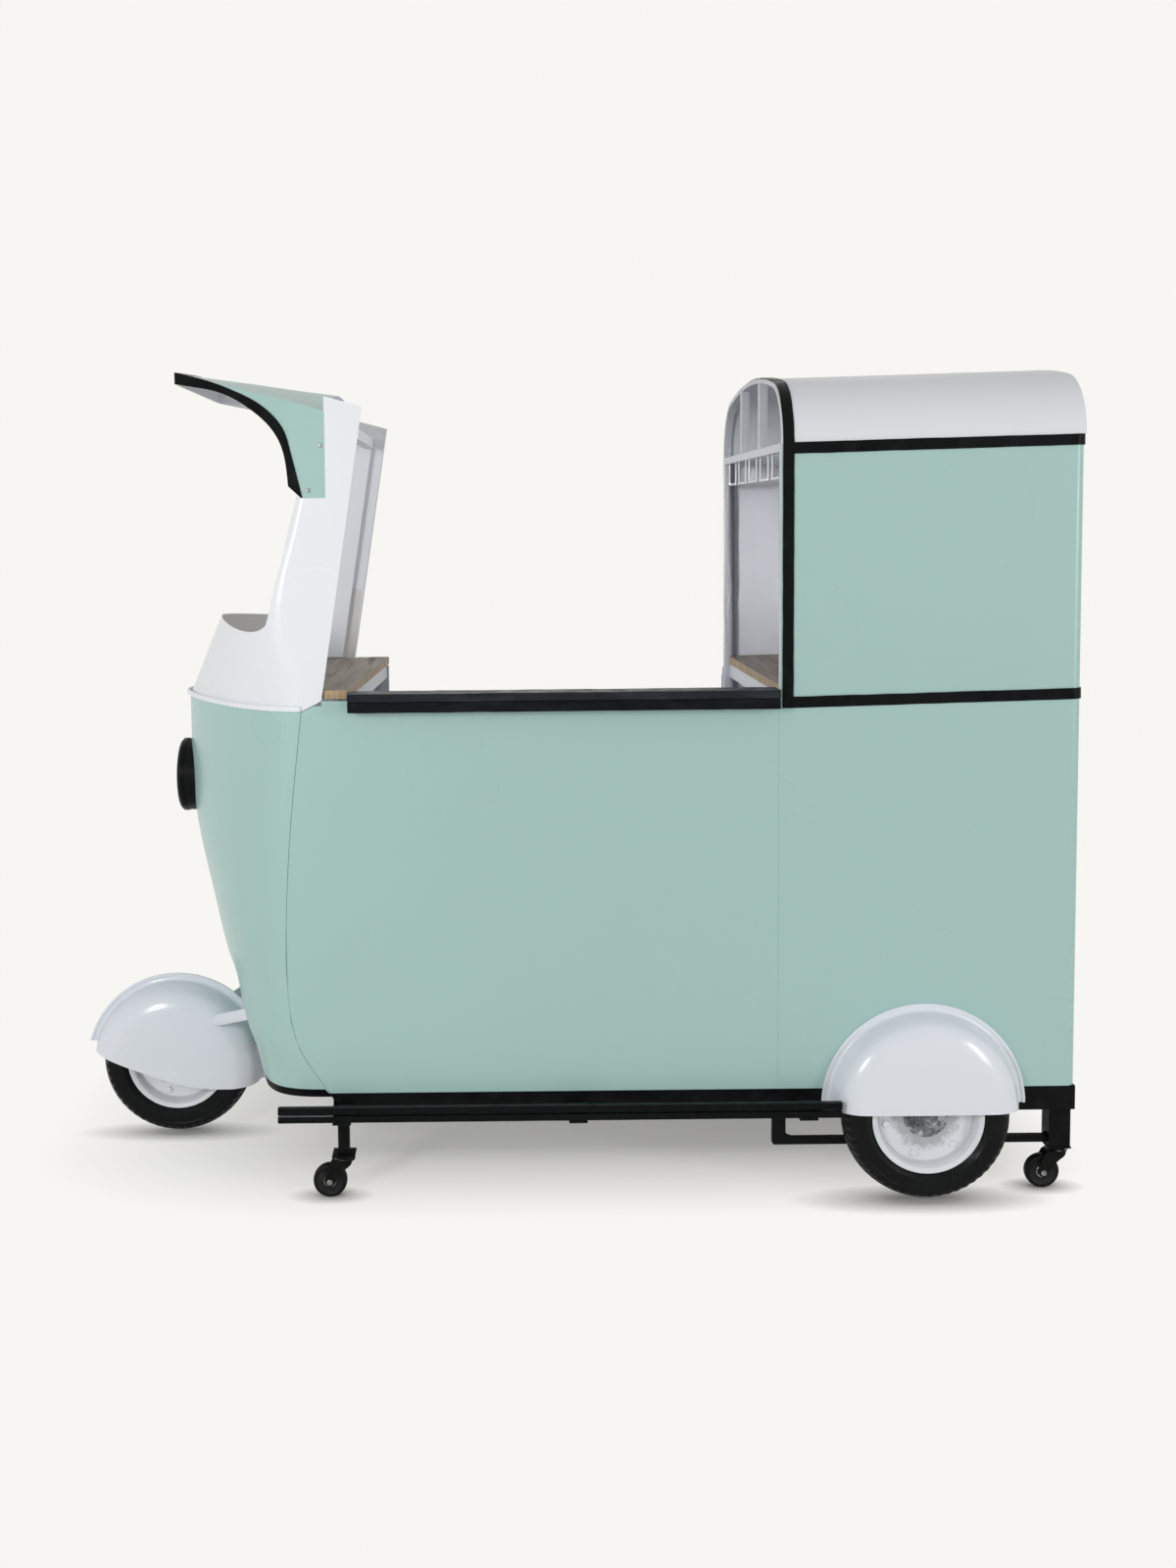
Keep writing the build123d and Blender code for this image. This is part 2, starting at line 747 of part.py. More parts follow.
def body_frame():
    post_top = counter_height - seam_gap
    rail = (counter_height - tube - seam_gap, post_top)
    near_cab = (counter_start - tube, counter_start)
    solids = [near_tube(near_cab, post_outs, (panel_bottom, post_top), 2)]
    far_cab = (far_panel_end - tube, far_panel_end)
    solids.append(far_copy(near_tube(far_cab, post_outs, (panel_bottom, post_top), 2)))
    solids.append(near_tube((counter_start, hutch_front), post_outs, rail, 0))
    for station in upright_stations:
        solids.append(near_tube((station, station + tube), post_outs, (panel_bottom, rail[0]), 2))
    front_post = (hutch_front, hutch_front + tube)
    rear_end = body_rear - sheet - rear_post_inset
    rear_post = (rear_end - tube, rear_end)
    rear_outs = (post_outs[0] - rear_post_inset, post_outs[1] - rear_post_inset)
    solids += both(near_tube(front_post, post_outs, (panel_bottom, roof_springing), 2))
    solids += both(near_tube(rear_post, rear_outs, (panel_bottom, roof_springing), 2))
    for top in (shelf_bottom, roof_springing):
        heights = (top - tube, top)
        solids += both(near_tube((front_post[1], rear_post[0]), post_outs, heights, 0))
        solids.append(near_tube(rear_post, (-rear_outs[0], rear_outs[0]), heights, 1))
    return solids


def floor_panel():
    width = post_outs[0] - rear_post_inset - 1
    return block((front_member[0], body_rear - sheet), (-width, width), (panel_bottom, panel_bottom + sheet))


# Shelves
shelf_thickness = 20.0
shelf_top = 1144.0
shelf_bottom = shelf_top - shelf_thickness
dash_front = 575.0
dash_bottom = counter_height + 3.0
angle_leg = 34.0
angle_thickness = 3.0


def plan_plate(points, heights):
    """Level board from (station, y) points."""
    face = Face(Wire.make_polygon([Vector(x_at(s), y, heights[0]) for s, y in points], close=True))
    return extrude(face, amount=heights[1] - heights[0], dir=(0, 0, 1))


def hutch_shelf():
    narrow = post_outs[0] - 2
    wide = inner_face - 2
    front = hutch_front + 11
    notch = hutch_front + tube + 2
    rear = body_rear - sheet - rear_post_inset - tube - 2
    points = [(front, -narrow), (notch, -narrow), (notch, -wide), (rear, -wide),
              (rear, wide), (notch, wide), (notch, narrow), (front, narrow)]
    return plan_plate(points, (shelf_bottom, shelf_top))


def dash_shelf():
    narrow = inner_face - liner_depth - 4
    wide = half_width - 1
    notch = pillar_rear(dash_bottom + shelf_thickness) + 2
    points = [(dash_front, -narrow), (notch, -narrow), (notch, -wide), (counter_start - 3, -wide),
              (far_panel_end, wide), (notch, wide), (notch, narrow), (dash_front, narrow)]
    return plan_plate(points, (dash_bottom, dash_bottom + shelf_thickness))


def shelf_angles():
    width = post_outs[0]
    start = hutch_front + 11
    across = (-width, width)
    upright = block((start, start + angle_thickness), across, (shelf_bottom - angle_leg, shelf_bottom))
    level = block((start, start + angle_leg), across, (shelf_bottom - angle_thickness, shelf_bottom))
    near_edge = counter_start - 5
    far_edge = far_panel_end - 4
    heights = (dash_bottom - angle_leg, dash_bottom)
    thin = plan_plate([(near_edge, -width), (near_edge - angle_thickness, -width),
                       (far_edge - angle_thickness, width), (far_edge, width)], heights)
    wide = plan_plate([(near_edge, -width), (near_edge - angle_leg, -width),
                       (far_edge - angle_leg, width), (far_edge, width)],
                      (dash_bottom - angle_thickness, dash_bottom))
    return [upright + level, thin + wide]


# Counter ledge on top of the near panel
ledge_reach = 42.0
ledge_inset = 27.0
cap_thickness = 18.0
apron_height = 23.0
ledge_groove = 1.5


def counter_ledge():
    span = (counter_start, hutch_front - 7)
    low = counter_height
    outer = half_width + ledge_reach
    cap = near_block(span, (half_width - ledge_inset, outer), (low, low + cap_thickness))
    apron = near_block(span, (half_width, outer - ledge_groove), (low - apron_height, low))
    return [cap, apron]


# Hutch front: cross bar, slats in the arch and the stemware rack
crossbar_size = 18.0
crossbar_top = 1674.0
slat_size = 20.0
slat_out = 130.0
hoop_thickness = 8.0
rack_wire = 2.5
rack_count = 5
rack_spacing = 159.0
rack_half = 55.0
rack_drop = 57.0
rack_depth = 262.0


def hutch_crossbar():
    span = (hutch_front, hutch_front + crossbar_size)
    heights = (crossbar_top - crossbar_size, crossbar_top)
    reach = post_outs[0]
    solids = [near_tube(span, (-reach, reach), heights, 1)]
    slat_span = (hutch_front, hutch_front + slat_size)
    slat_outs = (slat_out - slat_size / 2, slat_out + slat_size / 2)
    riser = near_block(slat_span, slat_outs, (crossbar_top, roof_springing + 1))
    slat = near_block(slat_span, slat_outs, (roof_springing, roof_springing + roof_rise))
    under_hoop = arch_block(slat_span[0] - 1, slat_span[1] + 1, sheet + hoop_thickness)
    return solids + both(riser + (slat & under_hoop))


def stemware_rack():
    bar_bottom = crossbar_top - crossbar_size
    low = bar_bottom - rack_drop + rack_wire
    front = hutch_front + crossbar_size / 2
    rear = front + rack_depth
    solids = []
    for i in range(rack_count):
        middle = (i - (rack_count - 1) / 2) * rack_spacing
        sides = (middle - rack_half + rack_wire, middle + rack_half - rack_wire)
        for station in (front, rear):
            for y in sides:
                solids.append(rod((station, y, low - rack_wire), (station, y, bar_bottom), rack_wire))
            ends = (sides[0] + rack_wire, sides[1] - rack_wire)
            solids.append(rod((station, ends[0], low), (station, ends[1], low), rack_wire))
        for y in sides:
            solids.append(rod((front + rack_wire, y, low), (rear - rack_wire, y, low), rack_wire))
    span = (rear - crossbar_size / 2, rear + crossbar_size / 2)
    reach = post_outs[0]
    solids.append(near_tube(span, (-reach, reach), (bar_bottom, crossbar_top), 1))
    return solids


# Black strips over the panel joints
def trim_strips():
    start = hutch_front + trim_thickness
    strip_end = start + trim_width
    thickness = trim_thickness - skin_gap
    mid_heights = (mid_joint - trim_width / 2, mid_joint + trim_width / 2)
    mid = body_wall(strip_end, trim_thickness, thickness, mid_heights)
    joint = body_wall(strip_end, trim_thickness, thickness, (roof_springing - trim_width, roof_springing))
    upright = near_block((start, strip_end), (half_width + skin_gap, half_width + trim_thickness),
                         (mid_heights[0], roof_springing))
    arch = arch_ring(start, strip_end, -trim_thickness, thickness)
    return [mid, joint, arch] + both(upright)


# Fenders: a turned dome with a flange and a bead, cut off below
def dome_body(inset):
    """Solid of the dome's shape, about Z, taken in by the inset."""
    bead = 4.0
    root = 207.0 - inset
    crown = fender_depth - inset
    wall = [(root, 10 - inset), (202 - inset, 32 - inset), (190 - inset, 55 - inset),
            (165 - inset, 70.5 - inset), (fender_cone_radius - inset, crown - fender_cone)]
    curve = Spline(*[(r, 0, w) for r, w in wall], tangents=[(-0.08, 0, 1), (-1, 0, 0.06)])
    if inset > 0:
        corners = [(0, -1), (root, -1), wall[0]]
    else:
        ring = fender_radius - 6
        corners = [(0, 0), (fender_radius, 0), (fender_radius, bead), (ring, bead), (ring, fender_sheet),
                   (root + 8, fender_sheet), wall[0]]
    edges = [Line((a[0], 0, a[1]), (b[0], 0, b[1])) for a, b in zip(corners, corners[1:])]
    if inset == 0:
        fillet_middle = (root + 2.4, 0, fender_sheet + 2.5)
        edges[-1] = ThreePointArc((root + 8, 0, fender_sheet), fillet_middle, (root, 0, 10))
    edges.append(curve)
    edges.append(Line((wall[-1][0], 0, wall[-1][1]), (0, 0, crown)))
    edges.append(Line((0, 0, crown), (0, 0, corners[0][1])))
    return revolve(Face(Wire(edges)), Axis.Z)


def fender_dome():
    """Pressed sheet dome with its flange on z = 0 and its crown towards +Z."""
    return dome_body(0) - dome_body(fender_sheet)


def on_near_side(local, station, out, height):
    """Places a solid made about Z on the near side, with +Z turned outwards."""
    return Pos(x_at(station), -out, height) * Rot(90, 0, 0) * local


front_fender_edge = [(-20, 235), (22, 235), (22, 222), (54, 210), (110, 188), (170, 166), (220, 150),
                     (262, 139), (310, 134), (360, 133), (460, 137)]


def front_fender():
    dome = on_near_side(fender_dome(), front_fender_station, 0, front_fender_height)
    below = front_fender_edge + [(460, -100), (-20, -100)]
    cutter = side_plate(below, (-1, fender_depth + 1))
    half = dome - cutter
    return both(half)


def rear_fender():
    dome = on_near_side(fender_dome(), rear_wheel_station, half_width, rear_fender_height)
    reach = fender_radius + 5
    cutter = near_block((rear_wheel_station - reach, rear_wheel_station + reach),
                        (half_width - 1, half_width + fender_depth + 1), (-50, rear_fender_cut))
    return dome - cutter


stay_width = 18.0
stay_thickness = 3.0


def fender_stays():
    start = Vector(x_at(321), -72.2, 303)
    end = Vector(x_at(420), -176, 352)
    run = end - start
    level_normal = run.cross(Vector(0, 0, 1))
    plane = Plane(origin=start + run * 0.5, x_dir=run, z_dir=level_normal)
    return both(plane * Box(run.length, stay_width, stay_thickness))


# Road wheels, made about Z with +Z outwards
def tyre():
    low = rim_radius - 11
    bead = rim_lip - 3.4
    over_lip = rim_radius + seam_gap
    shoulder = (wheel_radius - 14, tyre_half_width - 4)
    wall_height = shoulder[0] - rim_radius
    belly = (rim_radius + min(19, wall_height / 2), tyre_half_width - 0.3)
    edges = []
    for side in (1, -1):
        edges += [
            Line((low, 0, 0), (low, 0, side * bead)),
            Line((low, 0, side * bead), (over_lip, 0, side * bead)),
            ThreePointArc((over_lip, 0, side * bead), (belly[0], 0, side * belly[1]),
                          (shoulder[0], 0, side * shoulder[1])),
        ]
    crown = ThreePointArc((shoulder[0], 0, shoulder[1]), (wheel_radius, 0, 0),
                          (shoulder[0], 0, -shoulder[1]))
    return revolve(Face(Wire(edges + [crown])), Axis.Z)


nut_circle = 89.0
nut_radius = 8.0
nut_turn = 12.5
nut_height = 8.0
hub_radius = 62.0
hub_boss_radius = 49.0
disc_back = 4.0
disc_front = 7.0


def rim():
    seat = rim_radius - 11.4
    inner = seat - 3
    lip = rim_lip
    step = 15.0
    shell = turned([
        (rim_radius, lip), (rim_radius, lip - 3), (seat, lip - 3), (seat, 3 - lip), (rim_radius, 3 - lip),
        (rim_radius, -lip), (inner, -lip), (inner, step - 3), (inner - 3, step - 3),
        (inner - 9, disc_back),
        (hub_boss_radius + running_clearance, disc_back), (hub_boss_radius + running_clearance, disc_front),
        (inner - 10.5, disc_front), (inner - 4.5, step), (inner, step), (inner, lip)])
    nuts = []
    for i in range(6):
        turn = (nut_turn + i * 60) * pi / 180
        place = Pos(nut_circle * cos(turn), nut_circle * sin(turn), disc_front)
        nuts.append(place * extrude(RegularPolygon(nut_radius, 6), amount=nut_height))
    return [shell] + nuts


def hub():
    bore = axle_radius + running_clearance
    return turned([
        (bore, -hub_inner_end), (bore, hub_outer_end), (20, hub_outer_end), (24, 14), (hub_boss_radius, 11),
        (hub_boss_radius, disc_back), (hub_radius, disc_back), (hub_radius, -25), (30, -25),
        (24, -hub_inner_end)])


def place_wheel(name, station, out, far):
    """Writes a wheel's tyre, rim and hub on the near side, the middle or the far side."""
    for piece, solids in (("tyre", [tyre()]), ("rim", rim()), ("hub", [hub()])):
        placed = [on_near_side(solid, station, out, axle_height) for solid in solids]
        if far:
            placed = [far_copy(solid) for solid in placed]
        save(f"{name}_{piece}", placed)


# Casters, made with the swivel axis on Z and the floor at z = 0
plate_thickness = 4.0
crown_top = caster_height - plate_thickness - swivel_gap
crown_bottom = 84.0
fork_inner = 14.0
fork_thickness = 3.0
caster_head_radius = 7.0
caster_head_height = 4.0


def caster_plate():
    middle = caster_height - plate_thickness / 2
    plate = Pos(0, 0, middle) * Box(caster_plate_size, caster_plate_size, plate_thickness)
    base = caster_height - plate_thickness
    step = crown_bottom - swivel_gap
    pin = turned([(0, 78), (9, 78), (9, step), (kingpin_radius, step), (kingpin_radius, base), (0, base)])
    return plate + pin


def caster_fork():
    bore = kingpin_radius + running_clearance
    crown = turned([(bore, crown_bottom), (24, crown_bottom), (24, 91), (19, 91), (19, crown_top),
                    (bore, crown_top)])
    outline = [(17, crown_bottom), (-22, crown_bottom), (-12 - caster_trail, 44), (-9 - caster_trail, 30),
               (-caster_trail, 26), (9 - caster_trail, 30), (14 - caster_trail, 44), (10, 74)]
    solids = [crown]
    for side in (-1, 1):
        inner = side * fork_inner
        face = Face(Wire.make_polygon([Vector(x, inner, z) for x, z in outline], close=True))
        cheek = extrude(face, amount=fork_thickness, dir=(0, side, 0))
        solids.append(cheek - caster_bolt(caster_bolt_radius, fork_inner + fork_thickness))
    solids.append(caster_bolt(caster_bolt_radius, fork_inner + fork_thickness + caster_head_height))
    heads = caster_bolt(caster_head_radius, fork_inner + fork_thickness + caster_head_height)
    solids += (heads - caster_bolt(caster_head_radius + 1, fork_inner + fork_thickness)
               - caster_bolt(caster_bolt_radius, 50)).solids()
    return solids


def caster_bolt(radius, half_length):
    """Round bar along Y through the caster wheel's centre."""
    return Pos(-caster_trail, 0, caster_wheel_radius) * Rot(90, 0, 0) * Cylinder(radius, 2 * half_length)


def caster_wheel():
    bore = caster_bolt_radius + running_clearance
    outer = caster_wheel_radius
    wheel = turned([
        (bore, -12), (bore, 12), (14, 12), (16, 9), (27, 9), (30, 12), (outer - 4, 11), (outer, 6),
        (outer, -6), (outer - 4, -11), (30, -12), (27, -9), (16, -9), (14, -12)])
    return Pos(-caster_trail, 0, caster_wheel_radius) * Rot(90, 0, 0) * wheel


caster_places = {
    "front_near": (front_leg_station, -front_leg_out),
    "front_far": (front_leg_station, front_leg_out),
    "rear_near": (rear_leg_station, -rear_leg_out),
    "rear_far": (rear_leg_station, rear_leg_out),
}


def write_casters():
    plates = []
    for name, (station, y) in caster_places.items():
        place = Pos(x_at(station), y, 0)
        plates.append(place * caster_plate())
        save(f"caster_fork_{name}", [place * solid for solid in caster_fork()])
        save(f"caster_wheel_{name}", place * caster_wheel())
    save("caster_plates", plates)


def write_panels():
    near = side_panel(panel_seam)
    save("near_side_panel", near)
    save("far_cab_panel", far_copy(side_panel(far_panel_end)))
    near, rear, far = wall_pieces(panel_seam + seam_gap, (panel_bottom, mid_joint - seam_gap))
    near = near - wheel_arch
    save("near_rear_panel", near)
    save("far_rear_panel", far_copy(near))
    save("lower_rear_panel", rear)
    near, rear, far = wall_pieces(hutch_front, (mid_joint, roof_springing))
    save("near_upper_panel", near)
    save("far_upper_panel", far)
    gable = arch_block(body_rear - sheet, body_rear, sheet)
    save("upper_rear_panel", rear + gable)
    save("roof_panel", arch_ring(hutch_front, body_rear, 0, sheet))
    hoop_rear = body_rear - sheet - seam_gap
    save("roof_hoops", [
        arch_ring(hutch_front, hutch_front + slat_size, sheet, hoop_thickness),
        arch_ring(hoop_rear - slat_size, hoop_rear, sheet, hoop_thickness)])


save("chassis_frame", chassis_frame())
save("sill_tubes", sill_tubes())
save("caster_legs", caster_legs())
save("axle_carriers", axle_carriers())
save("axles", axles())
save("front_fork_arms", front_fork_arms())
save("foot_rail", foot_rail())
save("floor_panel", floor_panel())
save("nose_panel", nose_panel())
save("nose_skirt", nose_skirt())
write_panels()
save("trim_strips", trim_strips())
save("body_frame", body_frame())
save("hutch_crossbar", hutch_crossbar())
save("stemware_rack", stemware_rack())
save("hutch_shelf", hutch_shelf())
save("dash_shelf", dash_shelf())
save("shelf_angles", shelf_angles())
save("counter_ledge", counter_ledge())
save("cab_shell", cab_shell())
save("pillar_liners", pillar_liners())
save("cowl_bead", cowl_bead())
save("visor", visor())
save("visor_edge_trim", visor_edge_trim())
save("body_screws", body_screws())
for node, solid in headlight().items():
    save(node, solid)
save("front_fender", front_fender())
save("fender_stays", fender_stays())
near_fender = rear_fender()
save("rear_fender_near", near_fender)
save("rear_fender_far", far_copy(near_fender))
place_wheel("front_wheel", front_wheel_station, 0, False)
place_wheel("near_wheel", rear_wheel_station, rear_wheel_out, False)
place_wheel("far_wheel", rear_wheel_station, rear_wheel_out, True)
write_casters()
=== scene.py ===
import json
import math

import bmesh
import bpy
from mathutils import Matrix, Vector, noise


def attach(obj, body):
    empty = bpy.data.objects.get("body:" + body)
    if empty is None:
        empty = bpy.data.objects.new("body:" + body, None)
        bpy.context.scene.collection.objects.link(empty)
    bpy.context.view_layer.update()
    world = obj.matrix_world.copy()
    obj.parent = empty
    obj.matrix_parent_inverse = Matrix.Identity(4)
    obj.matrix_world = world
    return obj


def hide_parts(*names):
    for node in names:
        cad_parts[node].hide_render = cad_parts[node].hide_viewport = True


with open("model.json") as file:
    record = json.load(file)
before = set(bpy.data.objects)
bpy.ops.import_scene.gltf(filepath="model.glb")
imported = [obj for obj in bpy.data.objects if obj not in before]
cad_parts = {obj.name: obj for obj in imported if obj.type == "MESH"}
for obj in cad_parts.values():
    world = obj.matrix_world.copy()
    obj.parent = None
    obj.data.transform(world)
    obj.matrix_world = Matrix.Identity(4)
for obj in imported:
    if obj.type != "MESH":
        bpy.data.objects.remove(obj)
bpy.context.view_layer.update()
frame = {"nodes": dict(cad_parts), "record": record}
nodes = frame["nodes"]
bodies = {n: body for body, members in frame["record"]["behaviour"]["bodies"].items() for n in members}

# A station is a distance behind the front-most point, in millimetres
half_length = 1142.25
half_width = 425.0
axle_height = 195.0
wheels = {"front": (220.0, 0.0), "near": (1946.0, -440.0), "far": (1946.0, 440.0)}
casters = {"front_near": (661.0, -387.5), "front_far": (661.0, 387.5),
           "rear_near": (2259.0, -376.0), "rear_far": (2259.0, 376.0)}
caster_trail = 32
caster_axle_height = 38
hutch_front = 1625.0
ledge_split = 1.122
cowl_top = 1.33


def at(station, y, z):
    """A point in the frame that all pieces share, in metres."""
    return Vector((station - half_length, y, z)) / 1000


# Materials
def linear(rgb):
    """Scene-linear colour of an 8 bit display colour."""
    return tuple(c / 3294.6 if c <= 10.3 else ((c / 255 + 0.055) / 1.055) ** 2.4 for c in rgb) + (1.0,)


class Finish:
    """A material's node tree, built one layer at a time."""

    def __init__(self, name, **surface):
        self.material = bpy.data.materials.new(name)
        self.material.use_nodes = True
        self.tree = self.material.node_tree
        self.tree.nodes.clear()
        self.surface = self.node("ShaderNodeBsdfPrincipled")
        self.join(self.surface.outputs[0], self.node("ShaderNodeOutputMaterial").inputs[0])
        self.place = self.node("ShaderNodeTexCoord").outputs["Object"]
        self.relief = None
        for key, value in surface.items():
            self.surface.inputs[key.replace("_", " ")].default_value = value

    def node(self, kind, **settings):
        made = self.tree.nodes.new(kind)
        for key, value in settings.items():
            setattr(made, key, value)
        return made

    def join(self, source, target):
        self.tree.links.new(source, target)

    def feed(self, target, value):
        if isinstance(value, bpy.types.NodeSocket):
            self.join(value, target)
        elif isinstance(value, tuple) and len(value) == 3 and target.type == "RGBA":
            target.default_value = linear(value)
        else:
            target.default_value = value

    def noise(self, scale, detail=2.0, stretch=(1, 1, 1), rough=0.5, warp=0.0):
        spread = self.node("ShaderNodeMapping")
        spread.inputs["Scale"].default_value = stretch
        self.join(self.place, spread.inputs["Vector"])
        made = self.node("ShaderNodeTexNoise")
        self.join(spread.outputs[0], made.inputs["Vector"])
        for key, value in (("Scale", scale), ("Detail", detail), ("Roughness", rough), ("Distortion", warp)):
            made.inputs[key].default_value = value
        return made.outputs["Fac"]

    def spread(self, value, low, high, new_low=0.0, new_high=1.0):
        made = self.node("ShaderNodeMapRange")
        self.feed(made.inputs["Value"], value)
        for i, number in enumerate((low, high, new_low, new_high)):
            made.inputs[i + 1].default_value = number
        return made.outputs[0]

    def math(self, operation, a, b=0.0):
        made = self.node("ShaderNodeMath", operation=operation)
        self.feed(made.inputs[0], a)
        self.feed(made.inputs[1], b)
        return made.outputs[0]

    def distance(self, a, b):
        """Length of the diagonal over two sides."""
        squares = [self.math("MULTIPLY", side, side) for side in (a, b)]
        return self.math("SQRT", self.math("ADD", *squares))

    def most(self, first, *others):
        """The largest of several values."""
        for value in others:
            first = self.math("MAXIMUM", first, value)
        return first

    def mix(self, share, a, b):
        made = self.node("ShaderNodeMix", data_type="RGBA")
        self.feed(made.inputs[0], share)
        self.feed(made.inputs[6], a)
        self.feed(made.inputs[7], b)
        return made.outputs[2]

    def bump(self, height, depth):
        """Adds relief of a depth in millimetres."""
        made = self.node("ShaderNodeBump")
        made.inputs["Distance"].default_value = depth / 1000
        self.join(height, made.inputs["Height"])
        if self.relief:
            self.join(self.relief, made.inputs["Normal"])
        self.relief = made.outputs[0]
        self.join(self.relief, self.surface.inputs["Normal"])

    def axis(self, name):
        """One coordinate of the piece's own space."""
        made = self.node("ShaderNodeSeparateXYZ")
        self.join(self.place, made.inputs[0])
        return made.outputs[name]

    def colour(self, value):
        self.feed(self.surface.inputs["Base Color"], value)

    def roughness(self, low, high, scale=9.0, detail=4.0, stretch=(1, 1, 1)):
        value = self.spread(self.noise(scale, detail, stretch), 0.3, 0.7, low, high)
        self.feed(self.surface.inputs["Roughness"], value)


def paint(name, middle, dark, light, rough=(0.22, 0.36), wave=0.3, patch=1.1):
    """Hand-sprayed gloss paint on sheet that isn't quite flat."""
    f = Finish(name)
    tone = f.mix(f.spread(f.noise(patch, 0, (0.8, 1.0, 1.3)), 0.05, 0.95), dark, light)
    f.colour(f.mix(f.spread(f.noise(5, 0), 0.0, 1.0, 0.0, 0.6), tone, middle))
    f.feed(f.surface.inputs["Roughness"], f.spread(f.noise(3, 0), 0.0, 1.0, *rough))
    f.bump(f.noise(2.6, 1, (0.8, 1.0, 1.0)), wave)
    return f.material


def dusty_paint(name, base, dust, share, rough, streak=(1, 1, 1), lumps=0.15, lump_scale=60.0):
    """Brushed dark paint with dust and dried runs."""
    f = Finish(name, Specular_IOR_Level=0.08)
    cover = f.spread(f.noise(38, 6, streak, 0.62), 0.47, 0.72, 0.0, share)
    broad = f.spread(f.noise(5, 3), 0.4, 0.7, 0.0, share * 0.6)
    f.colour(f.mix(f.most(cover, broad), base, dust))
    f.roughness(*rough, scale=24)
    f.bump(f.noise(lump_scale, 3, streak), lumps)
    f.bump(f.noise(480, 2), 0.02)
    return f.material


def wood(name, dark, middle, light, grain, ring=0.5):
    """Sawn board, with grain along the axis whose stretch is smallest."""
    f = Finish(name)
    line = f.noise(60, 6, grain, 0.6, 0.6)
    broad = f.noise(9, 3, grain, 0.5, 1.2)
    tone = f.mix(f.spread(line, 0.32, 0.68), dark, light)
    tone = f.mix(f.spread(broad, 0.35, 0.65, 0.0, ring), tone, middle)
    crack = f.spread(f.noise(26, 2, grain, 0.4), 0.66, 0.70)
    f.colour(f.mix(crack, tone, (72, 60, 48)))
    f.roughness(0.45, 0.75, 40, 5, grain)
    f.bump(line, 0.35)
    f.bump(f.noise(300, 3, grain), 0.08)
    return f.material


def rubber(name, base, dust, share, rough=(0.34, 0.62)):
    """Dull rubber with specks of dust."""
    f = Finish(name, Specular_IOR_Level=0.13)
    speck = f.spread(f.noise(170, 5, rough=0.7), 0.52, 0.74, 0.0, share)
    film = f.spread(f.noise(16, 4), 0.5, 0.8, 0.0, share * 0.4)
    f.colour(f.mix(f.most(speck, film), base, dust))
    f.roughness(*rough, scale=60)
    f.bump(f.noise(260, 4), 0.12)
    return f.material


def metal(name, base, dark, rough):
    """Bare metal with dull spots."""
    f = Finish(name, Metallic=1.0)
    f.colour(f.mix(f.spread(f.noise(70, 5), 0.35, 0.7), base, dark))
    f.roughness(*rough, scale=120)
    f.bump(f.noise(300, 3), 0.02)
    return f.material


rim_dirt_edge = (0.062, 0.080)
# The groove ring between these radii gets painted shade
rim_groove_inner = (0.1005, 0.1035)
rim_groove_outer = (0.1045, 0.108)


def wheel_white(name, station):
    """White rim paint, dusty and grey towards the hub, with painted shade in the groove ring, for a wheel at
    a station.
    """
    f = Finish(name)
    centre = at(station, 0, axle_height)
    x = f.math("SUBTRACT", f.axis("X"), centre.x)
    z = f.math("SUBTRACT", f.axis("Z"), centre.z)
    out = f.distance(x, z)
    uneven = f.spread(f.noise(55, 6, rough=0.65), 0.3, 0.7, -0.012, 0.012)
    near_hub = f.spread(f.math("ADD", out, uneven), *rim_dirt_edge, 1.0, 0.0)
    # Painted shade: the groove ring between the rim's step and its disc is greyed
    groove_shade = f.math("MULTIPLY", f.spread(out, *rim_groove_inner), f.spread(out, *rim_groove_outer, 1.0, 0.0))
    specks = f.spread(f.noise(120, 6, rough=0.7), 0.58, 0.8, 0.0, 0.3)
    dirt_and_groove_shade = f.most(f.math("MULTIPLY", near_hub, 0.6), specks, f.math("MULTIPLY", groove_shade, 0.35))
    tone = f.mix(f.spread(f.noise(8, 2), 0.35, 0.65), (222, 226, 231), (236, 239, 243))
    f.colour(f.mix(dirt_and_groove_shade, tone, (138, 138, 138)))
    f.roughness(0.3, 0.55, 30)
    f.bump(f.noise(90, 4), 0.06)
    return f.material


def hub_metal(name):
    """Hub with old grey paint, greasy, in dark and light patches with chips."""
    f = Finish(name, Specular_IOR_Level=0.3)
    patch = f.noise(75, 7, rough=0.7, warp=0.5)
    tone = f.mix(f.spread(patch, 0.36, 0.62), (70, 70, 72), (140, 141, 145))
    chips = f.spread(f.noise(40, 5, rough=0.6), 0.5, 0.64, 0.0, 0.85)
    f.colour(f.mix(chips, tone, (206, 209, 215)))
    f.roughness(0.4, 0.75, 60)
    f.bump(patch, 0.5)
    return f.material


def glass(name):
    """Dark clear-coated lens."""
    f = Finish(name, Coat_Weight=1.0, Coat_Roughness=0.03)
    f.colour(f.mix(f.spread(f.noise(30, 3), 0.4, 0.7), (12, 13, 14), (24, 26, 28)))
    f.roughness(0.05, 0.14)
    f.bump(f.noise(70, 2), 0.15)
    return f.material


mint = paint("mint_gloss", (167, 200, 195), (162, 195, 189), (172, 205, 200))
white = paint("white_gloss", (237, 240, 244), (232, 236, 241), (241, 243, 247), rough=(0.2, 0.34))
roof_white = paint("roof_white", (227, 230, 235), (221, 225, 231), (232, 234, 238), rough=(0.32, 0.45))
fender_white = paint("fender_white", (230, 234, 242), (225, 230, 238), (234, 238, 245),
                     rough=(0.14, 0.24), wave=0.12)
grey_inside = paint("inside_grey", (226, 229, 236), (220, 223, 231), (232, 235, 241),
                    rough=(0.4, 0.62), patch=2.2)
cowl_inside = paint("cowl_inside", (222, 221, 218), (214, 212, 208), (230, 229, 227),
                    rough=(0.4, 0.65), patch=3)
cab_grey = paint("cab_inside_grey", (238, 240, 245), (231, 234, 240), (242, 244, 248),
                 rough=(0.4, 0.6), patch=2)
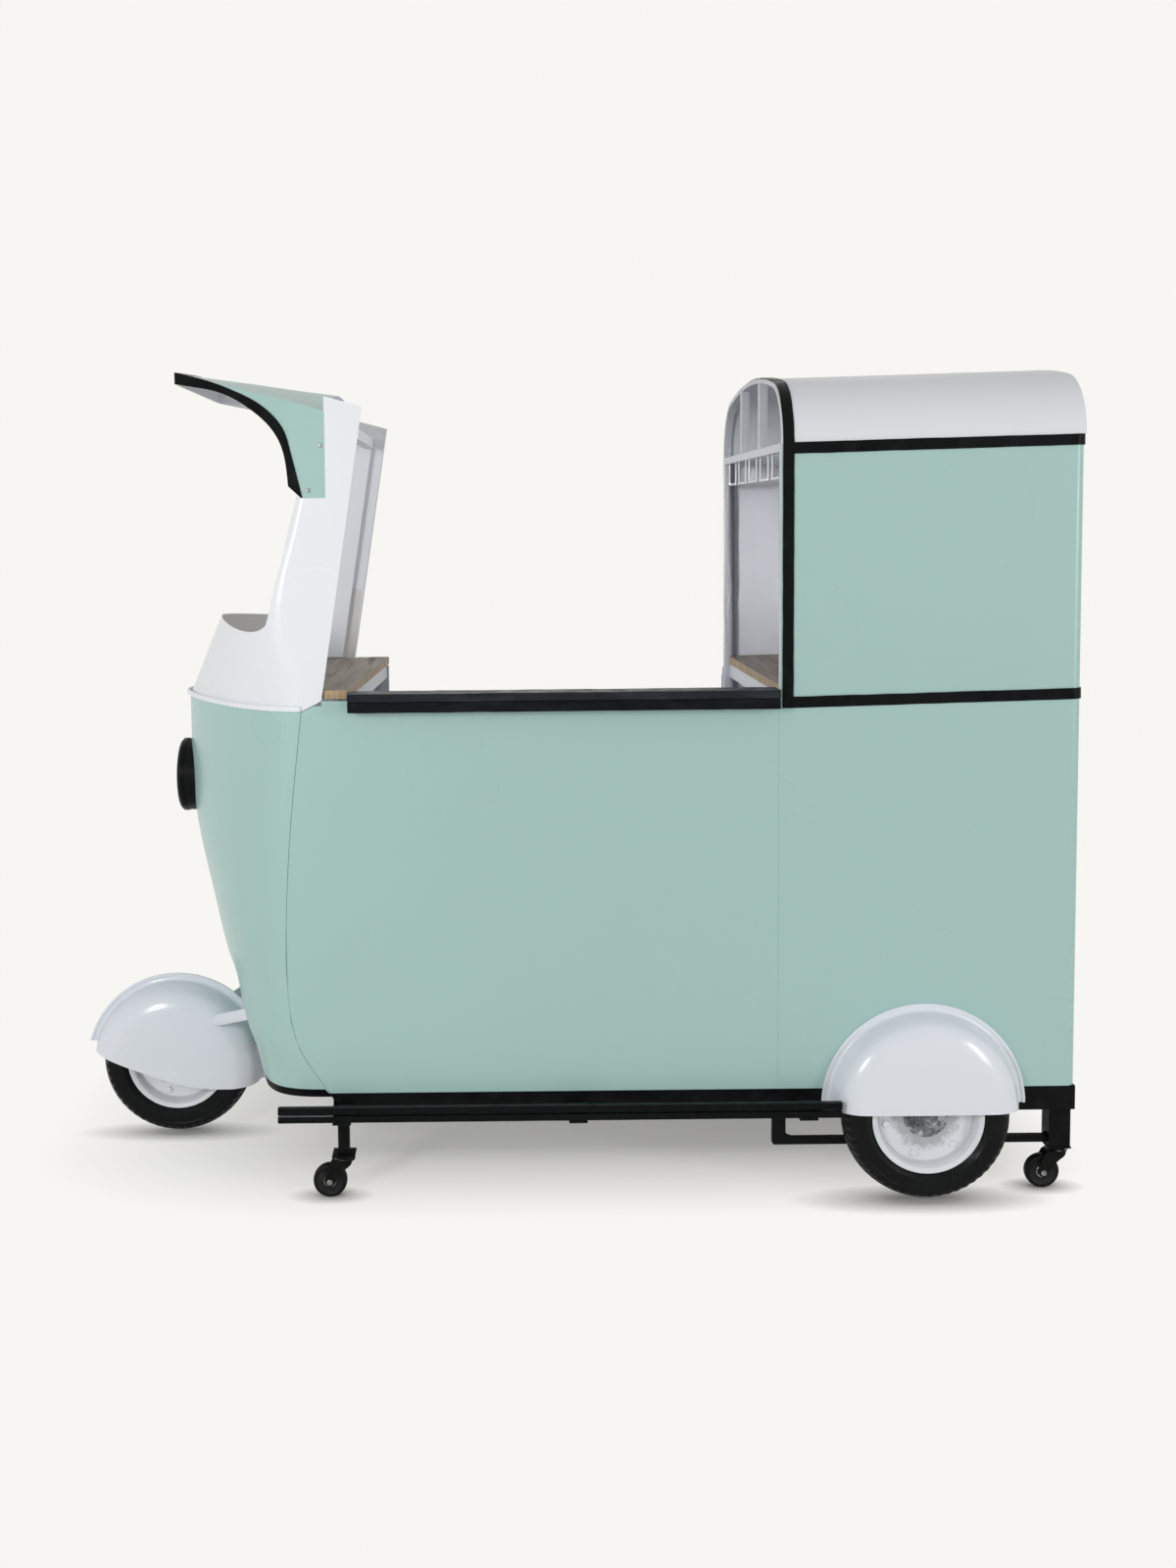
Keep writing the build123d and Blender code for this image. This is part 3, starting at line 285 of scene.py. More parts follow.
frame_white = paint("frame_white", (204, 208, 215), (197, 201, 208), (212, 215, 222),
                    rough=(0.3, 0.5), wave=0.1)
wire_white = paint("wire_white", (224, 226, 230), (212, 214, 219), (232, 234, 238),
                   rough=(0.2, 0.4), wave=0.02)
black = dusty_paint("black_gloss", (5, 7, 8), (30, 33, 33), 0.35, (0.2, 0.42))
strip_black = dusty_paint("strip_black", (5, 6, 7), (42, 44, 44), 0.28, (0.2, 0.5), (1, 1, 0.5), 0.3, 46)
frame_black = dusty_paint("frame_black", (7, 8, 8), (38, 40, 40), 0.35, (0.28, 0.6), lumps=0.25)
ledge_black = dusty_paint("ledge_black", (9, 11, 13), (46, 50, 55), 0.35, (0.22, 0.45), (0.25, 1, 1), 0.4, 34)
ledge_top = dusty_paint("ledge_top", (30, 33, 38), (62, 67, 74), 0.6, (0.25, 0.5), (0.2, 1, 1), 0.4, 34)
caster_paint = dusty_paint("caster_paint", (8, 8, 9), (54, 52, 50), 0.35, (0.3, 0.6), lumps=0.2,
                           lump_scale=90)
tyre_black = rubber("tyre_rubber_worn", (4, 5, 6), (66, 68, 72), 0.2, (0.22, 0.5))
caster_tread = rubber("caster_tread", (9, 10, 10), (54, 54, 53), 0.28)
caster_hub = rubber("caster_hub", (24, 25, 26), (92, 92, 90), 0.4)
board_top = wood("board_top", (122, 110, 98), (147, 137, 125), (172, 163, 152), (1, 0.06, 1))
board_end = wood("board_end", (134, 110, 82), (166, 142, 108), (186, 163, 130), (1, 1, 0.35), 0.3)
rim_white = {name: wheel_white("rim_white_" + name, wheels[name][0]) for name in ("front", "near")}
rim_white["far"] = rim_white["near"]
hub_grey = hub_metal("hub_grey_dirty")
steel = metal("zinc_steel", (198, 200, 203), (128, 130, 134), (0.25, 0.5))
bright_race = metal("bright_race", (180, 180, 182), (80, 78, 76), (0.2, 0.45))
seam_paint = dusty_paint("seam_filler", (112, 141, 135), (130, 158, 152), 0.7, (0.4, 0.7))
# Painted highlight: light grey for the top face of the foot rail's lower bar, standing in for the light that
# face catches
rail_highlight = dusty_paint("rail_highlight", (150, 152, 156), (186, 188, 192), 0.6, (0.3, 0.5))
# Painted shade: dark grey for the recess in each screw head
recess_painted_shade = dusty_paint("painted_recess_shade", (52, 54, 56), (82, 84, 86), 0.5, (0.5, 0.8))
lens_glass = glass("lens_glass")


# How pieces are made
hutch_slope = 0.021
slope_pivot = 1950
slope_bottom = 0.249
slope_height = 0.849


def settle(mesh):
    """Lets the hutch rise a few millimetres towards its rear, and none of it at the floor line."""
    for vert in mesh.vertices:
        station = vert.co.x * 1000 + half_length
        if station > hutch_front + 0.2:
            share = min(1.0, max(0.0, (vert.co.z - slope_bottom) / slope_height))
            vert.co.z += hutch_slope * (station - slope_pivot) / 1000 * share


def new_piece(name, mesh, materials, body, replaced=()):
    """A visible piece that moves with a body and stands for the replaced nodes."""
    piece = bpy.data.objects.new(name, mesh)
    bpy.context.scene.collection.objects.link(piece)
    if body == "cart":
        settle(mesh)
    mesh.materials.clear()
    for material in materials:
        mesh.materials.append(material)
    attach(piece, body)
    if replaced:
        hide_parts(*replaced)
    return piece


core_front = at(640, 0, 0).x
core_rear = at(1940, 0, 0).x
core_top = 1.6


def outwards(centre, normal):
    """True where a face of the body's skin looks away from the line along the middle of its inside."""
    inside = Vector((min(max(centre.x, core_front), core_rear), 0, min(centre.z, core_top)))
    return normal.dot(centre - inside) > 0


def two_sided(outer, inner):
    """Material list and rule for skin with another colour inside."""
    return [outer, inner], lambda centre, normal: 0 if outwards(centre, normal) else 1


def wooden():
    """Material list and rule for a board with sawn edges."""
    return [board_top, board_end], lambda centre, normal: 1 if max(abs(normal.x), abs(normal.y)) > 0.7 else 0


def choose(mesh, pick):
    """Gives each face the material that the rule picks from its centre and normal."""
    for face in mesh.polygons:
        face.material_index = pick(face.center, face.normal) if pick else 0


def recoat(node, materials, pick=None):
    """The node's own shape, with its finish chosen face by face."""
    mesh = nodes[node].data.copy()
    new_piece(node + "_painted", mesh, materials, bodies[node], [node])
    choose(mesh, pick)


# Without a seed, the uneven surfaces would differ from run to run
surface_seed = 7
noise.seed_set(surface_seed)


def lumpy(co, amount, grain):
    """A point moved by smooth noise, amount being millimetres along each axis."""
    shift = noise.noise_vector(co * grain + Vector((3.7, 9.1, 5.3)))
    return co + Vector((shift[i] * amount[i] / 1000 for i in range(3)))


def slice_mesh(bm, steps):
    """Cuts the mesh at even distances along each axis that has a step, in millimetres."""
    for axis, step in enumerate(steps):
        if not step:
            continue
        low = min(v.co[axis] for v in bm.verts)
        high = max(v.co[axis] for v in bm.verts)
        count = max(1, round((high - low) * 1000 / step))
        normal = Vector((0, 0, 0))
        normal[axis] = 1
        for i in range(1, count):
            place = normal * (low + (high - low) * i / count)
            geometry = bm.verts[:] + bm.edges[:] + bm.faces[:]
            bmesh.ops.bisect_plane(bm, geom=geometry, plane_co=place, plane_no=normal)


joint_distance = 2e-6
flat_angle = 0.002
least_bevel_angle = 0.5


def welded(mesh):
    """Editable copy of a mesh, with doubled points joined and flat faces made whole."""
    bm = bmesh.new()
    bm.from_mesh(mesh)
    bmesh.ops.remove_doubles(bm, verts=bm.verts, dist=joint_distance)
    bmesh.ops.dissolve_limit(bm, angle_limit=flat_angle, verts=bm.verts, edges=bm.edges)
    return bm


def smooth(mesh, angle):
    """Smooth shading, with edges sharper than an angle kept."""
    for face in mesh.polygons:
        face.use_smooth = True
    mesh.set_sharp_from_angle(angle=math.radians(angle))


def worked(node, materials, pick=None, bevel=0.8, steps=(0, 0, 0), amount=(0, 0, 0), grain=30.0, segments=2):
    """The node's shape with rounded edges and an uneven surface."""
    bm = welded(nodes[node].data)
    sharp = [e for e in bm.edges if len(e.link_faces) == 2 and e.calc_face_angle(0) > least_bevel_angle]
    bmesh.ops.bevel(bm, geom=sharp, offset=bevel / 1000, offset_type="OFFSET", segments=segments,
                    profile=0.5, affect="EDGES", clamp_overlap=True)
    slice_mesh(bm, steps)
    for vert in bm.verts:
        vert.co = lumpy(vert.co, amount, grain)
    bm.normal_update()
    mesh = bpy.data.meshes.new(node + "_worked")
    bm.to_mesh(mesh)
    bm.free()
    smooth(mesh, 35)
    piece = new_piece(node + "_worked", mesh, materials, bodies[node], [node])
    choose(mesh, pick)
    modifier = piece.modifiers.new("even_normals", "WEIGHTED_NORMAL")
    modifier.keep_sharp = True


def joined(name, pieces, materials, body, replaced=(), angle=35):
    """One piece from several meshes, given as (points, faces, material of each face)."""
    points, faces, picks = [], [], []
    for piece_points, piece_faces, piece_picks in pieces:
        start = len(points)
        points += piece_points
        faces += [[i + start for i in face] for face in piece_faces]
        picks += piece_picks
    mesh = bpy.data.meshes.new(name)
    mesh.from_pydata([tuple(p) for p in points], [], faces)
    bm = bmesh.new()
    bm.from_mesh(mesh)
    bmesh.ops.recalc_face_normals(bm, faces=bm.faces)
    bm.to_mesh(mesh)
    bm.free()
    smooth(mesh, angle)
    new_piece(name, mesh, materials, body, replaced)
    for face, pick in zip(mesh.polygons, picks):
        face.material_index = pick


def between_rings(rings, count, back_to_first=False):
    """Four-sided faces between each ring of points and the next one."""
    faces = []
    for i in range(rings if back_to_first else rings - 1):
        after = (i + 1) % rings
        for k in range(count):
            n = (k + 1) % count
            faces.append([i * count + k, i * count + n, after * count + n, after * count + k])
    return faces


def spun(profile, place, segments=48, flip=False, shape=None):
    """Mesh turned about an axis along Y through place, from (radius, out, material) corners.

    Out points to -Y, or to +Y when flipped. Shape moves a corner: (angle, radius, out) to (radius, out).
    """
    points = []
    for i in range(segments):
        angle = 2 * math.pi * i / segments
        for radius, out, _ in profile:
            if shape:
                radius, out = shape(angle, radius, out)
            y = out if flip else -out
            points.append(place + Vector((radius * math.cos(angle), y, radius * math.sin(angle))) / 1000)
    picks = [material for _, _, material in profile] * segments
    return points, between_rings(segments, len(profile), True), picks


def upright(profile, place, segments=40):
    """Mesh turned about the vertical through place, from (radius, height, material) corners."""
    points, faces, picks = spun(profile, Vector((0, 0, 0)), segments)
    return [place + Vector((p.x, p.z, -p.y)) for p in points], faces, picks


def plate(outline, y_span, place, rounding=2, bevel=1.0):
    """Flat plate with softened corners, from an outline of (x, z) points in millimetres."""
    for _ in range(rounding):
        cut = []
        for a, b in zip(outline, outline[1:] + outline[:1]):
            cut.append((a[0] * 0.75 + b[0] * 0.25, a[1] * 0.75 + b[1] * 0.25))
            cut.append((a[0] * 0.25 + b[0] * 0.75, a[1] * 0.25 + b[1] * 0.75))
        outline = cut
    count = len(outline)
    middle = (sum(p[0] for p in outline) / count, sum(p[1] for p in outline) / count)
    rows = []
    for y, inset in ((y_span[0], bevel), (y_span[0] + bevel, 0), (y_span[1] - bevel, 0), (y_span[1], bevel)):
        row = []
        for x, z in outline:
            away = Vector((x - middle[0], z - middle[1]))
            away -= away.normalized() * inset
            row.append(place + Vector((middle[0] + away.x, y, middle[1] + away.y)) / 1000)
        rows.append(row)
    points = [p for row in rows for p in row]
    faces = [list(range(count)), list(range(3 * count, 4 * count))] + between_rings(4, count)
    return points, faces, [0] * len(faces)


def capped(points, count):
    """Rings of points with faces between them and over both ends."""
    rings = len(points) // count
    ends = [list(range(count)), list(range((rings - 1) * count, rings * count))]
    faces = between_rings(rings, count) + ends
    return points, faces, [0] * len(faces)


def bar(path, radius, sides):
    """Round bar along a path of points in metres."""
    points = []
    for i, p in enumerate(path):
        run = (path[min(i + 1, len(path) - 1)] - path[max(i - 1, 0)]).normalized()
        across = run.cross(Vector((0, 1, 0)))
        across = across.normalized() if across.length > 0.01 else Vector((1, 0, 0))
        other = run.cross(across)
        for k in range(sides):
            angle = 2 * math.pi * k / sides
            points.append(p + (across * math.cos(angle) + other * math.sin(angle)) * radius / 1000)
    return capped(points, sides)


def lump(place, size, seed):
    """Small uneven bead of weld metal."""
    bm = bmesh.new()
    bmesh.ops.create_icosphere(bm, subdivisions=3, radius=1.0)
    points = []
    for vert in bm.verts:
        swell = 1 + 0.28 * noise.noise(vert.co * 2.1 + Vector((seed, seed * 2, 0)))
        points.append(place + Vector((vert.co[i] * size[i] * swell / 1000 for i in range(3))))
    faces = [[v.index for v in face.verts] for face in bm.faces]
    bm.free()
    return points, faces, [0] * len(faces)


# Skin panels
for name in ("near_side_panel", "far_cab_panel", "near_rear_panel", "far_rear_panel", "lower_rear_panel",
             "near_upper_panel", "far_upper_panel", "upper_rear_panel", "nose_panel"):
    recoat(name, *two_sided(mint, grey_inside))
recoat("roof_panel", *two_sided(roof_white, grey_inside))
recoat("cab_shell", [white, cowl_inside, cab_grey],
       lambda centre, normal: 0 if outwards(centre, normal) else (1 if centre.z < cowl_top else 2))
recoat("visor", [mint, cab_grey],
       lambda centre, normal: 0 if normal.z > -0.05 and outwards(centre, normal) else 1)
for name in ("front_fender", "rear_fender_near", "rear_fender_far"):
    recoat(name, [fender_white])
for name, material in (("nose_skirt", black), ("visor_edge_trim", strip_black), ("headlight_bezel", black),
                       ("headlight_bucket", frame_black), ("headlight_lens", lens_glass),
                       ("pillar_liners", cab_grey), ("stemware_rack", wire_white), ("axles", hub_grey),
                       ("caster_plates", caster_paint), ("floor_panel", grey_inside)):
    recoat(name, [material])

# Strips, boards and tubes
# Height span of the foot rail's lower bar top, and how far back along the cart its painted highlight reaches
lower_bar_top = (0.2235, 0.227)
highlight_rail_end = at(640, 0, 0).x
worked("cowl_bead", [white], bevel=2.6, segments=4)
worked("trim_strips", [strip_black], bevel=0.8, steps=(14, 14, 14), amount=(0.7, 0.5, 0.7), grain=22)
# The ledge's faces above ledge_split take a lighter grey-black finish than those below
worked("counter_ledge", [ledge_black, ledge_top], lambda centre, normal: 1 if centre.z > ledge_split else 0,
       bevel=2.0, steps=(14, 0, 8), amount=(0.4, 0.7, 0.7), grain=28, segments=3)
for name in ("hutch_shelf", "dash_shelf"):
    worked(name, *wooden(), bevel=1.5, steps=(12, 30, 0), amount=(0.4, 0.4, 0.5), grain=24)
# The front part of the lower bar's top face gets a light grey painted highlight
worked("foot_rail", [black, rail_highlight],
       lambda centre, normal: 1 if (normal.z > 0.8 and centre.x < highlight_rail_end
                                    and lower_bar_top[0] < centre.z < lower_bar_top[1]) else 0,
       bevel=1.5, steps=(24, 0, 0), amount=(0.2, 0.3, 0.3), grain=20)
for name in ("chassis_frame", "sill_tubes", "caster_legs", "axle_carriers"):
    worked(name, [frame_black], bevel=0.9)
worked("front_fork_arms", [fender_white], bevel=0.9)
for name in ("body_frame", "roof_hoops", "hutch_crossbar", "shelf_angles"):
    worked(name, [frame_white], bevel=0.7)

# Weld beads where the foot rail meets its arms, and where the rear legs meet the lower rails
foot_arm_stations = (667.0, 1180.0, 1680.0)
foot_arm_out = half_width + 56
foot_arm_height = 210
rear_leg_station = 2236
rear_leg_out = 379
lower_rail_height = 106
beads = []
for station in foot_arm_stations:
    for i, (dx, dy, dz) in enumerate(((-17, 2, 4), (17, 1, 6), (-15, 4, 24), (15, 3, 28), (0, 5, 16))):
        place = at(station + dx, -foot_arm_out + dy, foot_arm_height + dz)
        beads.append(lump(place, (5.5, 3.5, 5), station + i))
for side in (-1, 1):
    for i, (dx, dz) in enumerate(((0, 18), (2, 8), (-3, 4))):
        place = at(rear_leg_station + dx, side * rear_leg_out, lower_rail_height + dz)
        beads.append(lump(place, (6, 7, 5), 40 + i + side))
joined("weld_beads", beads, [frame_black], "cart")

# Filler behind the seam between the nose and the side panels, and behind the hutch's upright joint
seam = [(246, 636), (258, 628), (290, 606), (339, 575), (376, 561), (414, 552), (456, 547), (500, 545),
        (560, 544), (618, 545), (710, 550), (812, 556), (925, 567), (1010, 577), (1090, 586)]
joint_heights = (252, 660, 1088)
fillers = []
for side in (-1, 1):
    fillers.append(bar([at(s + 0.7, side * (half_width - 1.6), z) for z, s in seam], 1.5, 6))
    fillers.append(bar([at(hutch_front + 0.1, side * (half_width - 1.4), z) for z in joint_heights], 1.2, 6))
joined("seam_filler", fillers, [seam_paint], "cart")

# Rolled rear edge of each pillar, which leans back from the counter's height up
pillar_foot = 632
pillar_lean = 98 / 633
counter_height = 1121
pillar_span = (1126, 1748)
edge_runs = 12
edge_radius = 3.1
returns = []
for side in (-1, 1):
    path = []
    for i in range(edge_runs + 1):
        z = pillar_span[0] + (pillar_span[1] - pillar_span[0]) * i / edge_runs
        station = pillar_foot + (z - counter_height) * pillar_lean
        path.append(at(station - edge_radius - 0.3, side * (half_width - edge_radius - 0.1), z))
    returns.append(bar(path, edge_radius, 12))
joined("pillar_returns", returns, [white], "cart")

# Flat stays from the fender's sides to the nose, with softened edges
stay_line = [(318, 70.6, 301.5), (324, 72.6, 304.5), (345, 94.5, 314.5), (372, 122.5, 328), (398, 150, 341),
             (423, 178.5, 353.5)]
stay_half_height = 14.5
stay_tip_half_height = 10.0
stay_half_thickness = 1.6
stay_edge = 1.5
stay_gap = 1.4
stay_normal = (0.72, -0.68)
stays = []
for side in (-1, 1):
    points = []
    for i, (station, out, height) in enumerate(stay_line):
        high = stay_half_height if i else stay_tip_half_height
        flank = ((stay_edge - high, 1), (high - stay_edge, 1))
        section = ((-high, 0), *flank, (high, 0), *((dz, -share) for dz, share in reversed(flank)))
        for dz, share in section:
            shift = share * stay_half_thickness
            place_out = out + shift * stay_normal[1] + stay_gap
            points.append(at(station + shift * stay_normal[0], side * place_out, height + dz))
    stays.append(capped(points, 6))
joined("stays_welded", stays, [fender_white], "cart", ["fender_stays"], angle=50)

# Screws with domed heads and a recess that is coloured dark grey as painted shade
screws = ((613, 1576), (640, 1672))
screw_out = 427.3
screw_profile = [(5.0, 0.1, 0), (5.0, 0.8, 0), (4.4, 1.9, 0), (3.0, 2.6, 0), (1.7, 2.8, 0), (1.3, 1.6, 1),
                 (0.01, 1.5, 1), (0.01, 0.1, 0)]
heads = []
for station, height in screws:
    for flip in (False, True):
        heads.append(spun(screw_profile, at(station, screw_out if flip else -screw_out, height), 20, flip))
joined("screw_heads", heads, [steel, recess_painted_shade], "cart", ["body_screws"], angle=50)


# Road wheels
tread_blocks = 54
steps_per_block = 5
shoulder_radius = 166
shoulder_band = (20, 39)
notch_share = (0.1, 0.5)
notch_depth = 2.6
crown_radius = 176
crown_band = (10, 20)
groove_out = 15
groove_wave = 2.2
groove_half_width = 2.4
groove_depth = 3.2
nut_count = 6
nut_circle = 0.089
nut_turn = 12.5


def tread(angle, radius, out):
    """Cuts the shoulder notches and the wavy grooves of the tread."""
    pitch = (angle * tread_blocks / (2 * math.pi)) % 1
    width = abs(out)
    on_shoulder = radius > shoulder_radius and shoulder_band[0] < width < shoulder_band[1]
    if on_shoulder and notch_share[0] < pitch < notch_share[1]:
        radius -= notch_depth
    if radius > crown_radius and crown_band[0] < width < crown_band[1]:
        wave = groove_out + groove_wave * (1 if pitch < 0.5 else -1)
        if abs(width - wave) < groove_half_width:
            radius -= groove_depth
    return radius, out


def plain(profile):
    """Corners of a profile in the first material."""
    return [(radius, out, 0) for radius, out in profile]


half_tyre = [(123.3, 30.5), (126.5, 33.2), (130, 35.8), (133.2, 37.9), (135, 39.3), (137.6, 39.6),
             (139.4, 38.9), (146, 40.2), (152, 40.5), (157, 40.0), (158.4, 40.6), (160.6, 40.4),
             (161.6, 39.3), (165, 38.6), (167.4, 37.9), (171, 36.4), (174.5, 32.6), (177.6, 27.5),
             (179.6, 22.8), (180.6, 19.6), (181.2, 17.9), (181.8, 15.2), (182.4, 12.6), (182.9, 10.6),
             (183.6, 6), (184, 0.01)]
tyre_profile = half_tyre + [(r, -w) for r, w in reversed(half_tyre)] + [(112.2, -30), (112.2, 30)]
rim_profile = [(122.9, 31.1), (122.7, 33.0), (121.4, 33.9), (118.6, 33.7), (114.6, 31.9), (111.0, 28.4),
               (108.6, 23.4), (107.4, 17.2), (106.2, 12.2), (103.8, 9.0), (101.4, 7.4), (99.0, 7.0),
               (96.0, 7.3), (80, 7.2), (72, 7.0), (66, 7.5), (63, 8.6), (58, 9.2), (49.2, 9.2), (49.2, 4),
               (98, 4), (104.5, 6.5), (107.5, 11.6), (108.8, 12.2), (108.8, -31), (109.5, -33.6),
               (121.5, -33.9), (122.9, -31.2), (111.8, -30.8), (111.8, 30.8)]
nut_profile = [(9.6, 7.0), (9.6, 7.7), (8.6, 8.0), (8.4, 10.2), (7.2, 11.9), (4.4, 13.0), (0.01, 13.3),
               (0.01, 7.0)]
for name, (station, y) in wheels.items():
    place = at(station, y, axle_height)
    flip = name == "far"
    body = name + "_road_wheel"
    tyre = spun(plain(tyre_profile), place, steps_per_block * tread_blocks, flip, tread)
    joined(name + "_tyre_treaded", [tyre], [tyre_black], body, [name + "_wheel_tyre"],
           angle=28)
    pieces = [spun(plain(rim_profile), place, 96, flip)]
    for i in range(nut_count):
        turn = math.radians(nut_turn + 360 / nut_count * i)
        spot = place + Vector((math.cos(turn), 0, math.sin(turn))) * nut_circle
        pieces.append(spun(plain(nut_profile), spot, 18, flip))
    joined(name + "_rim_pressed", pieces, [rim_white[name]], body, [name + "_wheel_rim"],
           angle=32)
    recoat(name + "_wheel_hub", [hub_grey])

# Casters
fork_outline = [(18, 88), (-23, 88), (-33, 72), (-44, 48), (-43, 32), (-32, 25), (-21, 32), (-16, 46),
                (2, 66), (17, 77)]
fork_outs = (14.0, 17.0)
bridge_outline = [(17, 84), (-22, 84), (-22, 87), (17, 87)]
bridge_span = (-14.5, 14.5)
crown_profile = [(5.2, 84.2, 0), (23.0, 84.2, 0), (24.4, 85.6, 0), (24.4, 88.4, 0), (23.2, 89.4, 1),
                 (22.6, 90.4, 1), (21.6, 91.0, 0), (20.6, 92.2, 0), (20.0, 93.4, 1), (19.2, 94.4, 1),
                 (17.6, 95.4, 0), (5.2, 95.4, 0)]
head_profile = [(7.0, 17.0, 1), (7.0, 19.0, 1), (6.2, 20.4, 1), (4.0, 20.9, 1), (3.6, 20.2, 1),
                (0.01, 20.1, 1), (0.01, 17.0, 1)]
bolt_profile = [(3.9, -17.1, 1), (3.9, 17.1, 1), (0.01, 17.1, 1), (0.01, -17.1, 1)]
wheel_profile = [(4.1, 12.0, 1), (6.6, 12.0, 1), (7.4, 11.2, 1), (9.6, 11.2, 2), (13.2, 11.6, 2),
                 (14.2, 10.6, 1), (17.0, 8.8, 1), (21, 8.6, 1), (26.4, 9.0, 1), (28.6, 10.6, 0),
                 (30.6, 11.7, 0), (33.6, 11.6, 0), (36.0, 10.2, 0), (37.4, 7.6, 0), (38.0, 3.6, 0)]
wheel_profile = wheel_profile + [(r, -w, m) for r, w, m in reversed(wheel_profile)]
for name, (station, y) in casters.items():
    foot = at(station, y, 0)
    axle = at(station - caster_trail, y, caster_axle_height)
    pieces = [upright(crown_profile, foot)]
    for side in (-1, 1):
        pieces.append(plate(fork_outline, sorted(side * out for out in fork_outs), foot, 2, 0.8))
        pieces.append(spun(head_profile, axle, 18, side > 0))
    pieces.append(plate(bridge_outline, bridge_span, foot, 0, 0.4))
    pieces.append(spun(bolt_profile, axle, 16))
    joined("fork_" + name, pieces, [caster_paint, bright_race], name + "_caster",
           ["caster_fork_" + name])
    joined("roller_" + name, [spun(wheel_profile, axle, 56)], [caster_tread, caster_hub, bright_race],
           name + "_caster_wheel", ["caster_wheel_" + name])

# Floor, which fades into the background away from the cart and keeps its shadow under the near wheels
background = (247, 246, 242)
fade_rear, fade_front = (0.85, 1.25), (0.45, 1.25)
fade_far, fade_near = (0.3, 0.8), (0.12, 0.52)
least_fade = 0.25
contacts = [(*wheels["near"], 0.30, 0.085), (*wheels["front"], 0.26, 0.07)]
for name in ("front_near", "rear_near"):
    contacts.append((casters[name][0] - caster_trail, casters[name][1], 0.1, 0.05))


def floor_material():
    """Pale floor that shows the plain background colour, except where the cart's shadow falls."""
    f = Finish("studio_floor", Roughness=0.9, Specular_IOR_Level=0.2)
    f.colour(f.mix(f.spread(f.noise(2, 3), 0.3, 0.7), (236, 235, 231), (240, 239, 235)))
    x, y = f.axis("X"), f.axis("Y")
    along = f.most(f.spread(x, *fade_rear), f.spread(f.math("MULTIPLY", x, -1.0), *fade_front))
    across = f.most(f.spread(y, *fade_far), f.spread(f.math("MULTIPLY", y, -1.0), *fade_near))
    share = f.spread(f.distance(along, across), 0.0, 1.0, least_fade, 1.0)
    for station, out, length, depth in contacts:
        spot = at(station, out, 0)
        dx = f.math("DIVIDE", f.math("SUBTRACT", x, spot.x), length)
        dy = f.math("DIVIDE", f.math("SUBTRACT", y, spot.y), depth)
        share = f.math("MULTIPLY", share, f.spread(f.distance(dx, dy), 0.25, 1.0))
    glow = f.node("ShaderNodeEmission")
    glow.inputs["Color"].default_value = linear(background)
    path = f.node("ShaderNodeLightPath")
    seen = f.math("MAXIMUM", path.outputs["Is Camera Ray"], path.outputs["Is Glossy Ray"])
    blend = f.node("ShaderNodeMixShader")
    f.join(f.math("MULTIPLY", share, seen), blend.inputs[0])
    f.join(f.surface.outputs[0], blend.inputs[1])
    f.join(glow.outputs[0], blend.inputs[2])
    output = next(n for n in f.tree.nodes if n.type == "OUTPUT_MATERIAL")
    f.join(blend.outputs[0], output.inputs[0])
    return f.material


floor_reach = 30.0
corners = [(x * floor_reach, y * floor_reach, 0) for x, y in ((-1, -1), (1, -1), (1, 1), (-1, 1))]
floor_mesh = bpy.data.meshes.new("floor")
floor_mesh.from_pydata(corners, [], [(0, 1, 2, 3)])
floor_mesh.materials.append(floor_material())
floor = bpy.data.objects.new("floor", floor_mesh)
bpy.context.scene.collection.objects.link(floor)

